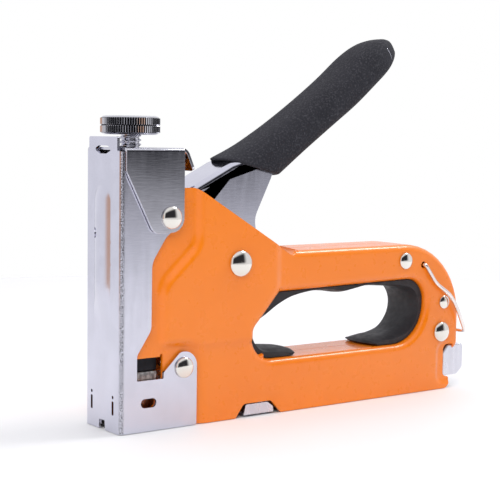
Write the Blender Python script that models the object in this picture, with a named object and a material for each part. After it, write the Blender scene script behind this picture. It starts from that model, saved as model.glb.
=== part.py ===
"""Hand staple gun: pressed steel shells, chrome nose, sprung striker, squeeze lever and staple magazine.

All sizes are in millimetres, measured from the front face of the nose (x), the mid-plane (y) and the
base (z).  place() moves them into the part's frame in metres, with the origin under the box centre.
"""
from math import atan2, ceil, cos, hypot, pi, radians, sin

import bmesh
import bpy
from mathutils import Matrix, Vector

# ---------------------------------------------------------------- driving dimensions (mm)
X_MID = 81.1             # middle of the overall length, the frame's x = 0
GAP = 0.3                # clearance between pieces that touch
SHELL_SHEET = 1.2        # steel of the two housing halves
SHELL_FRONT_HALF = 10.7  # half width of the housing where the nose covers it
SHELL_HALF = 11.8        # half width of the housing along the handle and the base
BULGE_HALF = 12.8        # half width of the raised panel around the lever pivot
SHELL_SEAM = 0.15        # each half stops this far from the mid-plane
EDGE_ROUND = 2.5         # rolled edge of the handle and of the finger opening

NOSE_SHEET = 1.0
NOSE_HALF = 12.0
NOSE_TOP = 95.6
TONGUE_TOP = 100.5
TONGUE_HALF = 9.5

BRACKET_SHEET = 1.0
BRACKET_HALF = 13.3
BRACKET_TOP = 96.9

LEVER_PIVOT = (48.8, 56.1)
LEVER_SLOPE = radians(36.1)  # the lever stands open at this angle

KNOB_AXIS_X = 10.6
KNOB_RADIUS = 10.3
KNOB_Z = (101.2, 107.6)
LINING_HALF = 9.2
SCREW_RADIUS = 3.9

MAGAZINE_HALF = 7.0
MAGAZINE_TOP = 16.8
RAIL_HALF = 4.4
ROD_Z = 8.0

STRIKER_X = (3.2, 16.6)
STRIKER_HALF = 8.6
STRIKER_Z = (20.3, 46.3)
SEAT_Z = (86.4, 88.0)

LATCH_PIVOT = (139.6, 51.2)
WIRE_RADIUS = 0.75

RIVETS = {  # name: (x, z, surface half width, head radius, head height)
    "rivet_front_top": (19.3, 73.2, BRACKET_HALF, 3.9, 1.7),
    "rivet_front_bottom": (25.7, 20.8, NOSE_HALF, 3.65, 1.7),
    "rivet_rear_top": (129.7, 53.2, SHELL_HALF, 3.25, 1.4),
    "rivet_rear_middle": (151.4, 35.5, SHELL_HALF, 2.65, 0.9),
    "rivet_rear_bottom": (150.2, 23.5, SHELL_HALF, 4.1, 2.0),
}
RIVET_SHANK = 1.9
PIVOT_SHANK = 2.6
PIVOT_HEAD = 4.75


# ---------------------------------------------------------------- basic tools
def clear_scene():
    for thing in list(bpy.data.objects):
        bpy.data.objects.remove(thing, do_unlink=True)


def place(x, y, z):
    """Millimetres from the nose front to metres in the part's frame."""
    return Vector(((x - X_MID) * 0.001, y * 0.001, z * 0.001))


def solid(mesh_data, name="piece"):
    """Turn a bmesh into an object with its faces pointing out."""
    bmesh.ops.recalc_face_normals(mesh_data, faces=mesh_data.faces)
    mesh = bpy.data.meshes.new(name)
    mesh_data.to_mesh(mesh)
    mesh_data.free()
    thing = bpy.data.objects.new(name, mesh)
    bpy.context.collection.objects.link(thing)
    return thing


def combine(target, tool, operation):
    """Boolean the tool into the target, and drop the tool."""
    modifier = target.modifiers.new("combine", "BOOLEAN")
    modifier.operation = operation
    modifier.solver = "EXACT"
    modifier.object = tool
    bpy.context.view_layer.update()
    result = bpy.data.meshes.new_from_object(target.evaluated_get(bpy.context.evaluated_depsgraph_get()))
    target.modifiers.clear()
    target.data = result
    bpy.data.objects.remove(tool, do_unlink=True)
    return target


def cut(target, tool):
    return combine(target, tool, "DIFFERENCE")


def add(target, tool):
    return combine(target, tool, "UNION")


def line_crossing(p, u, q, v):
    """Where the line through p along u meets the line through q along v."""
    det = u[0] * v[1] - u[1] * v[0]
    t = ((q[0] - p[0]) * v[1] - (q[1] - p[1]) * v[0]) / det
    return p[0] + t * u[0], p[1] + t * u[1]


def shift_corners(corners, distance):
    """Move each edge of a closed outline outwards.  distance is one value, or one for each edge."""
    count = len(corners)
    steps = [distance] * count if isinstance(distance, (int, float)) else list(distance)
    area = sum(corners[i - 1][0] * corners[i][1] - corners[i][0] * corners[i - 1][1] for i in range(count))
    side = 1.0 if area > 0 else -1.0
    edges = []
    for i in range(count):
        x0, z0, _ = corners[i]
        x1, z1, _ = corners[(i + 1) % count]
        length = hypot(x1 - x0, z1 - z0)
        ux, uz = (x1 - x0) / length, (z1 - z0) / length
        edges.append(((x0 + side * uz * steps[i], z0 - side * ux * steps[i]), (ux, uz)))
    moved = []
    for i in range(count):
        before, after = edges[i - 1], edges[i]
        x, z = line_crossing(before[0], before[1], after[0], after[1])
        turn = side * (before[1][0] * after[1][1] - before[1][1] * after[1][0])
        mean = (steps[i - 1] + steps[i]) / 2
        radius = corners[i][2]
        if radius > 0:
            radius = max(radius + (mean if turn > 0 else -mean), 0.05)
        moved.append((x, z, radius))
    return moved


def rounded(corners, arc_steps=5):
    """Points of a closed outline whose corners (x, z, radius) are rounded with arcs."""
    points = []
    count = len(corners)
    for i in range(count):
        x, z, radius = corners[i]
        if radius <= 0:
            points.append((x, z))
            continue
        ax, az, _ = corners[i - 1]
        bx, bz, _ = corners[(i + 1) % count]
        a = Vector((ax - x, az - z)).normalized()
        b = Vector((bx - x, bz - z)).normalized()
        half = a.angle(b) / 2
        reach = radius / max(abs(sin(half) / cos(half)), 1e-6)
        start = Vector((x, z)) + a * reach
        end = Vector((x, z)) + b * reach
        centre = Vector((x, z)) + (a + b).normalized() * (radius / sin(half))
        a0 = atan2(start.y - centre.y, start.x - centre.x)
        a1 = atan2(end.y - centre.y, end.x - centre.x)
        sweep = (a1 - a0 + pi) % (2 * pi) - pi
        for step in range(arc_steps + 1):
            angle = a0 + sweep * step / arc_steps
            points.append((centre.x + radius * cos(angle), centre.y + radius * sin(angle)))
    return points


def loft(loops):
    """Closed solid through loops of equal point counts, given as (x, y, z) points in mm."""
    mesh_data = bmesh.new()
    rings = [[mesh_data.verts.new(place(*point)) for point in loop] for loop in loops]
    count = len(rings[0])
    for ring, following in zip(rings, rings[1:]):
        for i in range(count):
            j = (i + 1) % count
            mesh_data.faces.new((ring[i], ring[j], following[j], following[i]))
    mesh_data.faces.new(rings[0][::-1])
    mesh_data.faces.new(rings[-1])
    return solid(mesh_data)


def prism_y(points, y0, y1):
    """Side-view outline of (x, z) points, extruded across the width."""
    return loft([[(x, y, z) for x, z in points] for y in (y0, y1)])


def prism_z(points, z0, z1):
    """Plan-view outline of (x, y) points, extruded upwards."""
    return loft([[(x, y, z) for x, y in points] for z in (z0, z1)])


def prism_x(points, x0, x1):
    """Front-view outline of (y, z) points, extruded along the length."""
    return loft([[(x, y, z) for y, z in points] for x in (x0, x1)])


def box(x, y, z):
    return prism_y([(x[0], z[0]), (x[1], z[0]), (x[1], z[1]), (x[0], z[1])], y[0], y[1])


def circle(cx, cz, radius, count=20):
    return [(cx + radius * cos(2 * pi * i / count), cz + radius * sin(2 * pi * i / count)) for i in range(count)]


def bar_y(x, z, radius, y0, y1, count=20):
    """Round bar across the width."""
    return prism_y(circle(x, z, radius, count), y0, y1)


def turned_y(x, z, profile, count=24):
    """Turned solid about a cross axis.  profile is a list of (radius, y), first and last radius > 0."""
    return loft([[(px, y, pz) for px, pz in circle(x, z, radius, count)] for radius, y in profile])


def turned_z(x, y, profile, count=24):
    """Turned solid about an upright axis.  profile is a list of (radius, z)."""
    return loft([[(px, py, z) for px, py in circle(x, y, radius, count)] for radius, z in profile])


def tube(path, radius, sides=6):
    """Round wire along a list of (x, y, z) points, with flat ends."""
    spots = [Vector(point) for point in path]
    rings = []
    normal = None
    for i, spot in enumerate(spots):
        ahead = (spots[min(i + 1, len(spots) - 1)] - spots[max(i - 1, 0)]).normalized()
        if normal is None:
            helper = Vector((0, 0, 1)) if abs(ahead.z) < 0.9 else Vector((0, 1, 0))
            normal = ahead.cross(helper).normalized()
        normal = (normal - ahead * normal.dot(ahead)).normalized()
        other = ahead.cross(normal)
        ring = []
        for k in range(sides):
            angle = 2 * pi * k / sides
            ring.append(tuple(spot + normal * radius * cos(angle) + other * radius * sin(angle)))
        rings.append(ring)
    return loft(rings)


def smooth_path(points, spacing):
    """Points on a Catmull-Rom curve through the given ones, about spacing apart."""
    spots = [Vector(point) for point in points]
    path = []
    for i in range(len(spots) - 1):
        before = spots[max(i - 1, 0)]
        after = spots[min(i + 2, len(spots) - 1)]
        a, b = spots[i], spots[i + 1]
        count = max(1, ceil((b - a).length / spacing))
        for step in range(count):
            t = step / count
            path.append(0.5 * ((2 * a) + (b - before) * t + (2 * before - 5 * a + 4 * b - after) * t * t
                               + (3 * a - before - 3 * b + after) * t * t * t))
    path.append(spots[-1])
    return [tuple(point) for point in path]


def mirrored(source):
    """Copy of a solid on the other side of the mid-plane."""
    mesh_data = bmesh.new()
    mesh_data.from_mesh(source.data)
    bmesh.ops.scale(mesh_data, vec=(1, -1, 1), verts=mesh_data.verts)
    return solid(mesh_data)


MATERIALS = {}


def material(name, colour, roughness, metallic):
    if name not in MATERIALS:
        made = bpy.data.materials.new(name)
        made.use_nodes = True
        shader = made.node_tree.nodes["Principled BSDF"]
        shader.inputs["Base Color"].default_value = (*colour, 1.0)
        shader.inputs["Roughness"].default_value = roughness
        shader.inputs["Metallic"].default_value = metallic
        MATERIALS[name] = made
    return MATERIALS[name]


def finish(thing, name, look, pivot=None, smooth=True):
    """Name the piece, give it its material and put its origin on its joint's axis."""
    thing.name = name
    thing.data.name = name
    thing.data.materials.clear()
    thing.data.materials.append(material(name + "_" + look[0], *look[1:]))
    if smooth:
        thing.data.shade_smooth()
        thing.data.set_sharp_from_angle(angle=radians(32))
    if pivot is not None:
        spot = place(*pivot)
        thing.data.transform(Matrix.Translation(-spot))
        thing.location = spot
    return thing


ORANGE = ("orange_paint", (0.90, 0.27, 0.03), 0.28, 0.0)
CHROME = ("chrome", (0.80, 0.81, 0.83), 0.12, 1.0)
STEEL = ("steel", (0.62, 0.61, 0.60), 0.25, 1.0)
BLACK_STEEL = ("black_steel", (0.03, 0.03, 0.035), 0.45, 0.4)
RUBBER = ("rubber", (0.03, 0.03, 0.035), 0.75, 0.0)
FOAM = ("foam", (0.045, 0.045, 0.055), 0.9, 0.0)


# ---------------------------------------------------------------- housing halves
BAR_TOP = 19.9        # floor of the finger opening
HANDLE_TOP = 59.5
REAR_X = 160.5

SHELL_OUTLINE = [  # corner x, z, radius, from the front foot round the top
    (2.0, 0.0, 0),
    (2.0, 83.2, 0),
    (30.4, 83.2, 2.0),
    (70.1, HANDLE_TOP, 6.0),
    (REAR_X, HANDLE_TOP, 30.0),
    (REAR_X, 18.0, 0.8),
    (152.4, 18.0, 2.5),
    (152.4, 4.6, 2.0),
    (155.6, 4.6, 0.8),
    (155.6, 0.0, 3.0),
    (68.8, 0.0, 0),
    (64.2, 4.9, 2.0),
    (51.8, 4.9, 2.0),
    (48.2, 0.0, 0),
]
FLANGED_EDGES = (3, 4)  # the handle's top and the rear edge are rolled inwards

OPENING = [
    (55.9, BAR_TOP, 9.5),
    (55.9, 31.8, 4.0),
    (67.6, 44.6, 2.0),
    (141.8, 45.9, 9.0),
    (141.8, BAR_TOP, 15.5),
]

NOSE_POCKET = [  # where the housing steps in under the nose and its bracket
    (0.0, -1.0, 0),
    (33.3, -1.0, 0),
    (33.3, 29.2, 7.0),
    (17.0, 29.2, 2.0),
    (17.0, 50.0, 8.0),
    (31.5, 63.5, 8.0),
    (31.5, 90.0, 0),
    (0.0, 90.0, 0),
]

BULGE = [  # raised panel around the lever pivot; the nose pocket trims its front
    (29.0, 90.0, 0),
    (29.0, 64.5, 8.0),
    (15.0, 51.5, 8.0),
    (15.0, 27.6, 0),
    (60.0, 27.6, 0),
    (60.0, 38.0, 0),
    (66.5, 46.0, 0),
    (66.5, 70.0, 0),
]

WINDOW = ((5.9, 17.7), (17.0, 25.2))
SIDE_SLOT = (11.4, 9.8, 6.2, 3.2)  # centre x, z, length, height


def edge_shifts(flanged, open_edges):
    """One shift for each edge of the shell outline."""
    return [flanged if i in FLANGED_EDGES else open_edges for i in range(len(SHELL_OUTLINE))]


def rolled_loops(corners, shifts, depth, sign):
    """Loops from the mid-plane outwards, whose last stretch turns over with the edge radius."""
    loops = [[(x, -SHELL_SEAM, z) for x, z in rounded(corners)]]
    start = depth - EDGE_ROUND
    for step in range(4):
        angle = radians(30 * step)
        inset = EDGE_ROUND * (1 - cos(angle)) * sign
        y = -(start + EDGE_ROUND * sin(angle))
        moved = shift_corners(corners, [s * inset for s in shifts])
        loops.append([(x, y, z) for x, z in rounded(moved)])
    return loops


def side_slot(grow):
    x, z, length, height = SIDE_SLOT
    a, b = length / 2 + grow, height / 2 + grow
    return rounded([(x - a, z - b, b * 0.99), (x + a, z - b, b * 0.99),
                    (x + a, z + b, b * 0.99), (x - a, z + b, b * 0.99)], 4)


def housing_half():
    """The near half: a pressed sheet with rolled edges, open towards the mid-plane."""
    shell = loft(rolled_loops(SHELL_OUTLINE, edge_shifts(1, 0), SHELL_HALF, -1))

    panel = prism_y(rounded(BULGE), -BULGE_HALF, -8.0)
    panel = combine(panel, prism_y(rounded(shift_corners(SHELL_OUTLINE, -0.4)), -14.0, -7.0), "INTERSECT")
    shell = add(shell, panel)

    opening = rolled_loops(OPENING, [1] * len(OPENING), SHELL_HALF, 1)
    opening[0] = [(x, 1.0, z) for x, _, z in opening[0]]
    opening.append([(x, -14.0, z) for x, _, z in opening[-1]])
    shell = cut(shell, loft(opening))
    shell = cut(shell, prism_y(rounded(NOSE_POCKET), -14.0, -SHELL_FRONT_HALF))

    # The hollow, with a wall left round the finger opening and a thin skin outside.
    inner = SHELL_HALF - SHELL_SHEET
    front_inner = SHELL_FRONT_HALF - SHELL_SHEET
    hollow = shift_corners(SHELL_OUTLINE, edge_shifts(-SHELL_SHEET, 1.5))
    wall = prism_y(rounded(shift_corners(OPENING, SHELL_SHEET)), -inner - 1, 2.0)
    deep = shift_corners(SHELL_OUTLINE, edge_shifts(-EDGE_ROUND, 1.5))
    shallow_part = prism_y(rounded(hollow), -front_inner, 1.0)
    shell = cut(shell, cut(shallow_part, wall))
    middle_part = prism_y(rounded(deep), -inner, -front_inner + 0.2)
    step_wall = shift_corners(NOSE_POCKET, SHELL_SHEET)
    middle_part = cut(middle_part, prism_y(rounded(step_wall), -14.0, 2.0))
    middle_part = cut(middle_part, prism_y(rounded(shift_corners(OPENING, EDGE_ROUND)), -14.0, 2.0))
    shell = cut(shell, middle_part)
    panel_part = prism_y(rounded(shift_corners(BULGE, -SHELL_SHEET)), -BULGE_HALF + SHELL_SHEET, -inner + 0.2)
    panel_part = cut(panel_part, prism_y(rounded(step_wall), -14.0, 2.0))
    panel_part = cut(panel_part, prism_y(rounded(shift_corners(OPENING, EDGE_ROUND + 0.2)), -14.0, 2.0))
    shell = cut(shell, panel_part)

    (x0, x1), (z0, z1) = WINDOW
    shell = cut(shell, box((x0, x1), (-14, 2), (z0, z1)))
    shell = cut(shell, prism_y(side_slot(0.5), -14, 2))
    for x, z, _, _, _ in RIVETS.values():
        shell = cut(shell, bar_y(x, z, RIVET_SHANK + GAP, -16, 2, 14))
    shell = cut(shell, bar_y(*LEVER_PIVOT, PIVOT_SHANK + GAP, -16, 2, 16))
    shell = cut(shell, bar_y(*LATCH_PIVOT, WIRE_RADIUS + GAP + 0.2, -16, 2, 12))
    return shell


def make_housing():
    near = housing_half()
    far = mirrored(near)
    finish(near, "housing_left", ORANGE)
    finish(far, "housing_right", ORANGE)


# ---------------------------------------------------------------- chrome nose and its bracket
NOSE_SIDE = [
    (-3.0, -1.0, 0),
    (31.1, -1.0, 0),
    (31.1, 26.4, 5.2),
    (24.3, 26.4, 3.0),
    (17.4, 19.8, 0.4),
    (17.4, 17.7, 0.4),
    (6.7, 17.7, 0.5),
    (6.7, 26.6, 3.0),
    (12.3, 35.0, 5.0),
    (12.4, 58.0, 8.0),
    (18.0, 66.5, 6.0),
    (24.3, 71.5, 3.0),
    (24.3, NOSE_TOP, 0),
    (-3.0, NOSE_TOP, 0),
]
RIB = (36.0, 84.4, 5.7, 1.8)  # bottom z, top z, half width, height


def rib_solid(back, push):
    """The upright swage on the nose front: a half-round ridge that fades out downwards."""
    z0, z1, half, height = RIB
    stations = [(z0, 0.02), (z0 + 8, 0.55), (z0 + 15, 1.0), (z1 - 7, 1.0), (z1 - 3.4, 0.8), (z1, 0.02)]
    loops = []
    for z, share in stations:
        width = half * (0.45 + 0.55 * share) - push * 0.6
        loop = []
        for step in range(9):
            y = -width + 2 * width * step / 8
            loop.append((push - height * share * (1 - (y / width) ** 2), y, z))
        loop.append((back, width, z))
        loop.append((back, -width, z))
        loops.append(loop)
    return loft(loops)


def make_nose():
    """One sheet folded into a U round the front of the housing."""
    inner = NOSE_HALF - NOSE_SHEET
    outside = rounded([(0, -NOSE_HALF, 2.0), (35, -NOSE_HALF, 0), (35, NOSE_HALF, 0), (0, NOSE_HALF, 2.0)], 4)
    inside = rounded([(NOSE_SHEET, -inner, 1.0), (36, -inner, 0), (36, inner, 0), (NOSE_SHEET, inner, 1.0)], 3)
    nose = cut(prism_z(outside, 0, NOSE_TOP), prism_z(inside, -1, NOSE_TOP + 1))
    nose = combine(nose, prism_y(rounded(NOSE_SIDE), -15, 15), "INTERSECT")
    nose = add(nose, box((0, NOSE_SHEET), (-TONGUE_HALF, TONGUE_HALF), (90, TONGUE_TOP)))
    nose = add(nose, rib_solid(0.5, 0.0))
    nose = cut(nose, rib_solid(2.0, NOSE_SHEET))
    lens = [(0.0, 94.6), (3.2, 95.2), (6.2, 96.2), (3.2, 97.1), (0.0, 97.5), (-3.2, 97.1), (-6.2, 96.2), (-3.2, 95.2)]
    nose = cut(nose, prism_x(lens, -2, 3))
    for y in (-7.2, 7.2):
        nose = cut(nose, box((-2, 3), (y - 0.45, y + 0.45), (6.0, 10.8)))
    nose = cut(nose, box((-2, 3), (-2.0, 2.0), (-1.0, 3.3)))
    nose = cut(nose, prism_y(side_slot(0.0), -15, 15))
    for name in ("rivet_front_top", "rivet_front_bottom"):
        x, z = RIVETS[name][:2]
        nose = cut(nose, bar_y(x, z, RIVET_SHANK + GAP, -16, 16, 14))
    finish(nose, "nose_cover", CHROME)


def make_bracket():
    """Inverted U over the top of the nose, with a curled tongue behind."""
    t = BRACKET_SHEET
    side = [(1.5, BRACKET_TOP, 1.0), (24.5, BRACKET_TOP, 0.6), (24.5, 68.3, 5.0), (12.4, 67.8, 3.6), (1.5, 89.0, 1.0)]
    bracket = prism_y(rounded(side), -BRACKET_HALF, BRACKET_HALF)
    bracket = cut(bracket, box((0, 30), (-BRACKET_HALF + t, BRACKET_HALF - t), (60, BRACKET_TOP - t)))
    curl = rounded([(20, BRACKET_TOP - t, 0), (20, BRACKET_TOP, 0), (29.6, BRACKET_TOP, 3.5), (32.9, 89.2, 0),
                    (31.8, 88.9, 0), (28.9, BRACKET_TOP - t, 2.6)], 4)
    bracket = add(bracket, prism_y(curl, -9.0, 9.0))
    bracket = cut(bracket, turned_z(KNOB_AXIS_X, 0, [(SCREW_RADIUS + 0.4, 90), (SCREW_RADIUS + 0.4, 100)], 20))
    x, z = RIVETS["rivet_front_top"][:2]
    bracket = cut(bracket, bar_y(x, z, RIVET_SHANK + GAP, -16, 16, 14))
    finish(bracket, "top_bracket", CHROME)

    nut = box((3.4, 17.6), (-9.2, 9.2), (92.0, BRACKET_TOP - t - GAP))
    nut = cut(nut, turned_z(KNOB_AXIS_X, 0, [(SCREW_RADIUS + 0.35, 90), (SCREW_RADIUS + 0.35, 100)], 20))
    finish(nut, "screw_nut", STEEL)


# ---------------------------------------------------------------- impact adjuster
def make_adjuster():
    """Knurled knob and screw, the spring seat it presses on, and the power spring."""
    low, high = KNOB_Z
    profile = [(SCREW_RADIUS - 0.6, SEAT_Z[1] + GAP), (SCREW_RADIUS, SEAT_Z[1] + 1.0), (SCREW_RADIUS, low),
               (KNOB_RADIUS - 0.7, low), (KNOB_RADIUS, low + 0.6), (KNOB_RADIUS, high - 0.6),
               (KNOB_RADIUS - 0.7, high), (1.0, high + 0.05)]
    knob = turned_z(KNOB_AXIS_X, 0, profile, 36)
    finish(knob, "adjust_knob", CHROME, (KNOB_AXIS_X, 0, low))

    seat = turned_z(KNOB_AXIS_X, 0, [(5.9, SEAT_Z[0]), (5.9, SEAT_Z[1]), (1.0, SEAT_Z[1] + 0.02)], 20)
    finish(seat, "spring_seat", STEEL, (KNOB_AXIS_X, 0, SEAT_Z[0]))

    turns, wire, radius = 5.5, 0.9, 4.9
    low, high = STRIKER_Z[1] + GAP + wire, SEAT_Z[0] - GAP - wire
    steps = int(turns * 14)
    coil = []
    for i in range(steps + 1):
        share = i / steps
        angle = 2 * pi * turns * share
        coil.append((KNOB_AXIS_X + radius * cos(angle), radius * sin(angle), low + (high - low) * share))
    finish(tube(coil, wire, 6), "main_spring", STEEL)


# ---------------------------------------------------------------- striker
def make_striker():
    """Block with the lifting slot, the driving blade on its front, and the rubber stop under it."""
    striker = box(STRIKER_X, (-STRIKER_HALF, STRIKER_HALF), STRIKER_Z)
    striker = cut(striker, box((7.6, 18.0), (-2.3, 2.3), (35.4, 45.0)))
    finish(striker, "striker", BLACK_STEEL, (KNOB_AXIS_X, 0, STRIKER_Z[0]), smooth=False)

    blade = box((1.6, 2.8), (-5.6, 5.6), (0.8, 45.0))
    finish(blade, "driver_blade", STEEL, (KNOB_AXIS_X, 0, STRIKER_Z[0]), smooth=False)

    bumper = box((3.4, 16.6), (-8.8, 8.8), (MAGAZINE_TOP + GAP, STRIKER_Z[0] - GAP))
    finish(bumper, "striker_bumper", ("bumper", (0.45, 0.45, 0.44), 0.6, 0.0), smooth=False)


# ---------------------------------------------------------------- lever
def on_lever(u, v):
    """Lever coordinates, along it and square to it from the pivot, to side-view x and z."""
    c, s = cos(LEVER_SLOPE), sin(LEVER_SLOPE)
    return LEVER_PIVOT[0] + u * c - v * s, LEVER_PIVOT[1] + u * s + v * c


def lever_outline(corners, arc_steps=5):
    return rounded([(*on_lever(u, v), radius) for u, v, radius in corners], arc_steps)


GRIP_STATIONS = [  # distance along, top, bottom of the grip, rest of the section follows
    (19.2, 32.4, 25.5), (27.0, 31.2, 17.0), (36.0, 29.6, 11.0), (50.0, 28.0, 12.2), (66.0, 27.4, 12.2),
    (80.0, 27.5, 12.0), (93.0, 28.3, 12.7), (101.0, 27.9, 13.2), (107.5, 26.2, 14.3), (111.6, 23.2, 16.4),
]
GRIP_HALF = 10.5
GRIP_SQUARENESS = 0.62   # 1 is an ellipse, smaller is squarer
LEVER_HALF = 8.6
INNER_HALF = 6.8
LEVER_SHEET = 1.3


def make_lever():
    pivot = (LEVER_PIVOT[0], 0, LEVER_PIVOT[1])

    # Outer channel: the chrome top of the lever, folded down at both sides.
    t = LEVER_SHEET
    outer_side = lever_outline([(1.5, 32.4, 0), (20, 29.4, 0), (34, 24.6, 6), (60, 23.6, 0), (105, 24.0, 3),
                                (105, 16.4, 3), (40, 16.4, 5), (22, 26.8, 3), (-3.0, 29.2, 0), (-13.0, 20.0, 0),
                                (-14.0, 21.2, 0), (-5.0, 29.6, 4)])
    channel = prism_y(outer_side, -LEVER_HALF, LEVER_HALF)
    core = lever_outline([(1.5, 32.4 - t, 0), (20, 29.4 - t, 0), (34, 24.6 - t, 6), (60, 23.6 - t, 0),
                          (104, 24.0 - t, 0), (104, 5, 0), (-20, 5, 0), (-20, 14.5, 0), (-5.0, 29.6 - t, 4)])
    channel = cut(channel, prism_y(core, -LEVER_HALF + t, LEVER_HALF - t))
    finish(channel, "lever_channel", CHROME, pivot)

    # Inner channel: its cheeks come down to the pivot between the housing halves.
    cheeks = lever_outline([(-2.5, 27.0, 2), (22, 24.6, 0), (36, 21.8, 0), (100, 21.8, 0), (100, 17.4, 0),
                            (37, 17.4, 4), (32.0, 14.0, 2), (17.5, 6.5, 8), (10.5, -7.5, 7.5), (-9.5, -7.5, 7.5),
                            (-7.5, 8.0, 6)])
    inner = prism_y(cheeks, -INNER_HALF, INNER_HALF)
    room = lever_outline([(-1.4, 27.0 - t, 0), (22, 24.6 - t, 0), (36, 21.8 - t, 0), (99, 21.8 - t, 0),
                          (99, -20, 0), (-30, -20, 0), (-30, 18, 0), (-3.5, 18, 0)])
    inner = cut(inner, prism_y(room, -INNER_HALF + t, INNER_HALF - t))
    inner = cut(inner, bar_y(*LEVER_PIVOT, PIVOT_SHANK + GAP, -16, 16, 16))
    finish(inner, "lever_inner", CHROME, pivot)

    # Lifting hook: a thick plate on the same pin whose nose sits in the striker's slot.
    nose_x, nose_z = 15.0, LEVER_PIVOT[1] - 15.8
    hook_side = rounded([(11.6, nose_z - 2.3, 2.2), (LEVER_PIVOT[0] - 12, LEVER_PIVOT[1] - 10.5, 6),
                         (LEVER_PIVOT[0] + 1.5, LEVER_PIVOT[1] - 8.2, 6), (LEVER_PIVOT[0] + 11, LEVER_PIVOT[1] + 2, 5),
                         (*on_lever(24, 12.0), 2), (*on_lever(24, 20.3), 1), (*on_lever(8.5, 22.8), 2),
                         (LEVER_PIVOT[0] - 10, LEVER_PIVOT[1] + 8.5, 6), (nose_x + 4.0, nose_z + 4.4, 3),
                         (11.4, nose_z + 2.0, 2.0)], 4)
    hook = prism_y(hook_side, -1.5, 1.5)
    hook = cut(hook, bar_y(*LEVER_PIVOT, PIVOT_SHANK + GAP, -16, 16, 16))
    finish(hook, "lifting_hook", STEEL, pivot)

    # Grip: a foam sleeve pulled over both channels, cut back obliquely at its front end.
    loops = []
    for u, top, bottom in GRIP_STATIONS:
        middle, half = (top + bottom) / 2, (top - bottom) / 2
        share = 1.0 if u < 100 else cos(radians(12 * (u - 100) / 2.6) if u < 112 else 0)
        wide = GRIP_HALF * max(share, 0.35)
        loop = []
        for k in range(20):
            angle = 2 * pi * k / 20
            flat_c = abs(cos(angle)) ** GRIP_SQUARENESS * (1 if cos(angle) >= 0 else -1)
            flat_s = abs(sin(angle)) ** GRIP_SQUARENESS * (1 if sin(angle) >= 0 else -1)
            x, z = on_lever(u, middle + half * flat_s)
            loop.append((x, wide * flat_c, z))
        loops.append(loop)
    grip = loft(loops)
    bore_outer = lever_outline([(0, 33.5, 0), (20.3, 29.4 + GAP, 0), (34.2, 24.6 + GAP, 6), (60, 23.6 + GAP, 0),
                                (105 + GAP, 24.0 + GAP, 3), (105 + GAP, 16.4 - GAP, 3), (42, 16.4 - GAP, 3),
                                (36, 13.6, 0), (28, 9, 0), (0, 9, 0)])
    grip = cut(grip, prism_y(bore_outer, -LEVER_HALF - GAP, LEVER_HALF + GAP))
    finish(grip, "lever_grip", FOAM, pivot)

    # Torsion spring round the pin, between the hook and a cheek.
    coil = [(LEVER_PIVOT[0] - 13.0, 2.5, LEVER_PIVOT[1] - 1.0)]
    turns, radius = 2.5, 4.2
    for i in range(int(turns * 12) + 1):
        angle = pi * 0.75 + 2 * pi * i / 12
        coil.append((LEVER_PIVOT[0] + radius * cos(angle), 2.5 + 2.2 * i / (turns * 12),
                     LEVER_PIVOT[1] + radius * sin(angle)))
    coil.append((*on_lever(14.0, 12.0)[:1], 4.75, on_lever(14.0, 12.0)[1]))
    finish(tube(coil, 0.45, 5), "lever_return_spring", STEEL)


# ---------------------------------------------------------------- rivets and the pivot pin
def rivet(x, z, surface, head_radius, head_height, shank):
    """Solid rivet across the width with a domed head at each side."""
    base = surface + GAP
    half = [(shank, base), (head_radius, base), (head_radius * 0.93, base + head_height * 0.4),
            (head_radius * 0.66, base + head_height * 0.8), (head_radius * 0.2, base + head_height)]
    profile = [(radius, -y) for radius, y in reversed(half)] + half
    return turned_y(x, z, profile, 16)


def make_rivets():
    for name, (x, z, surface, radius, height) in RIVETS.items():
        finish(rivet(x, z, surface, radius, height, RIVET_SHANK), name, STEEL)
    pin = rivet(*LEVER_PIVOT, BULGE_HALF, PIVOT_HEAD, 2.1, PIVOT_SHANK)
    finish(pin, "lever_pivot", STEEL)

    # Tube spacers keep the housing halves apart where the rear rivets pull them together.
    for name in ("rivet_rear_top", "rivet_rear_bottom"):
        x, z = RIVETS[name][:2]
        half = SHELL_HALF - SHELL_SHEET - GAP
        spacer = turned_y(x, z, [(2.9, -half), (2.9, half)], 16)
        spacer = cut(spacer, bar_y(x, z, RIVET_SHANK + GAP, -14, 14, 12))
        finish(spacer, name.replace("rivet", "spacer"), STEEL)


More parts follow.
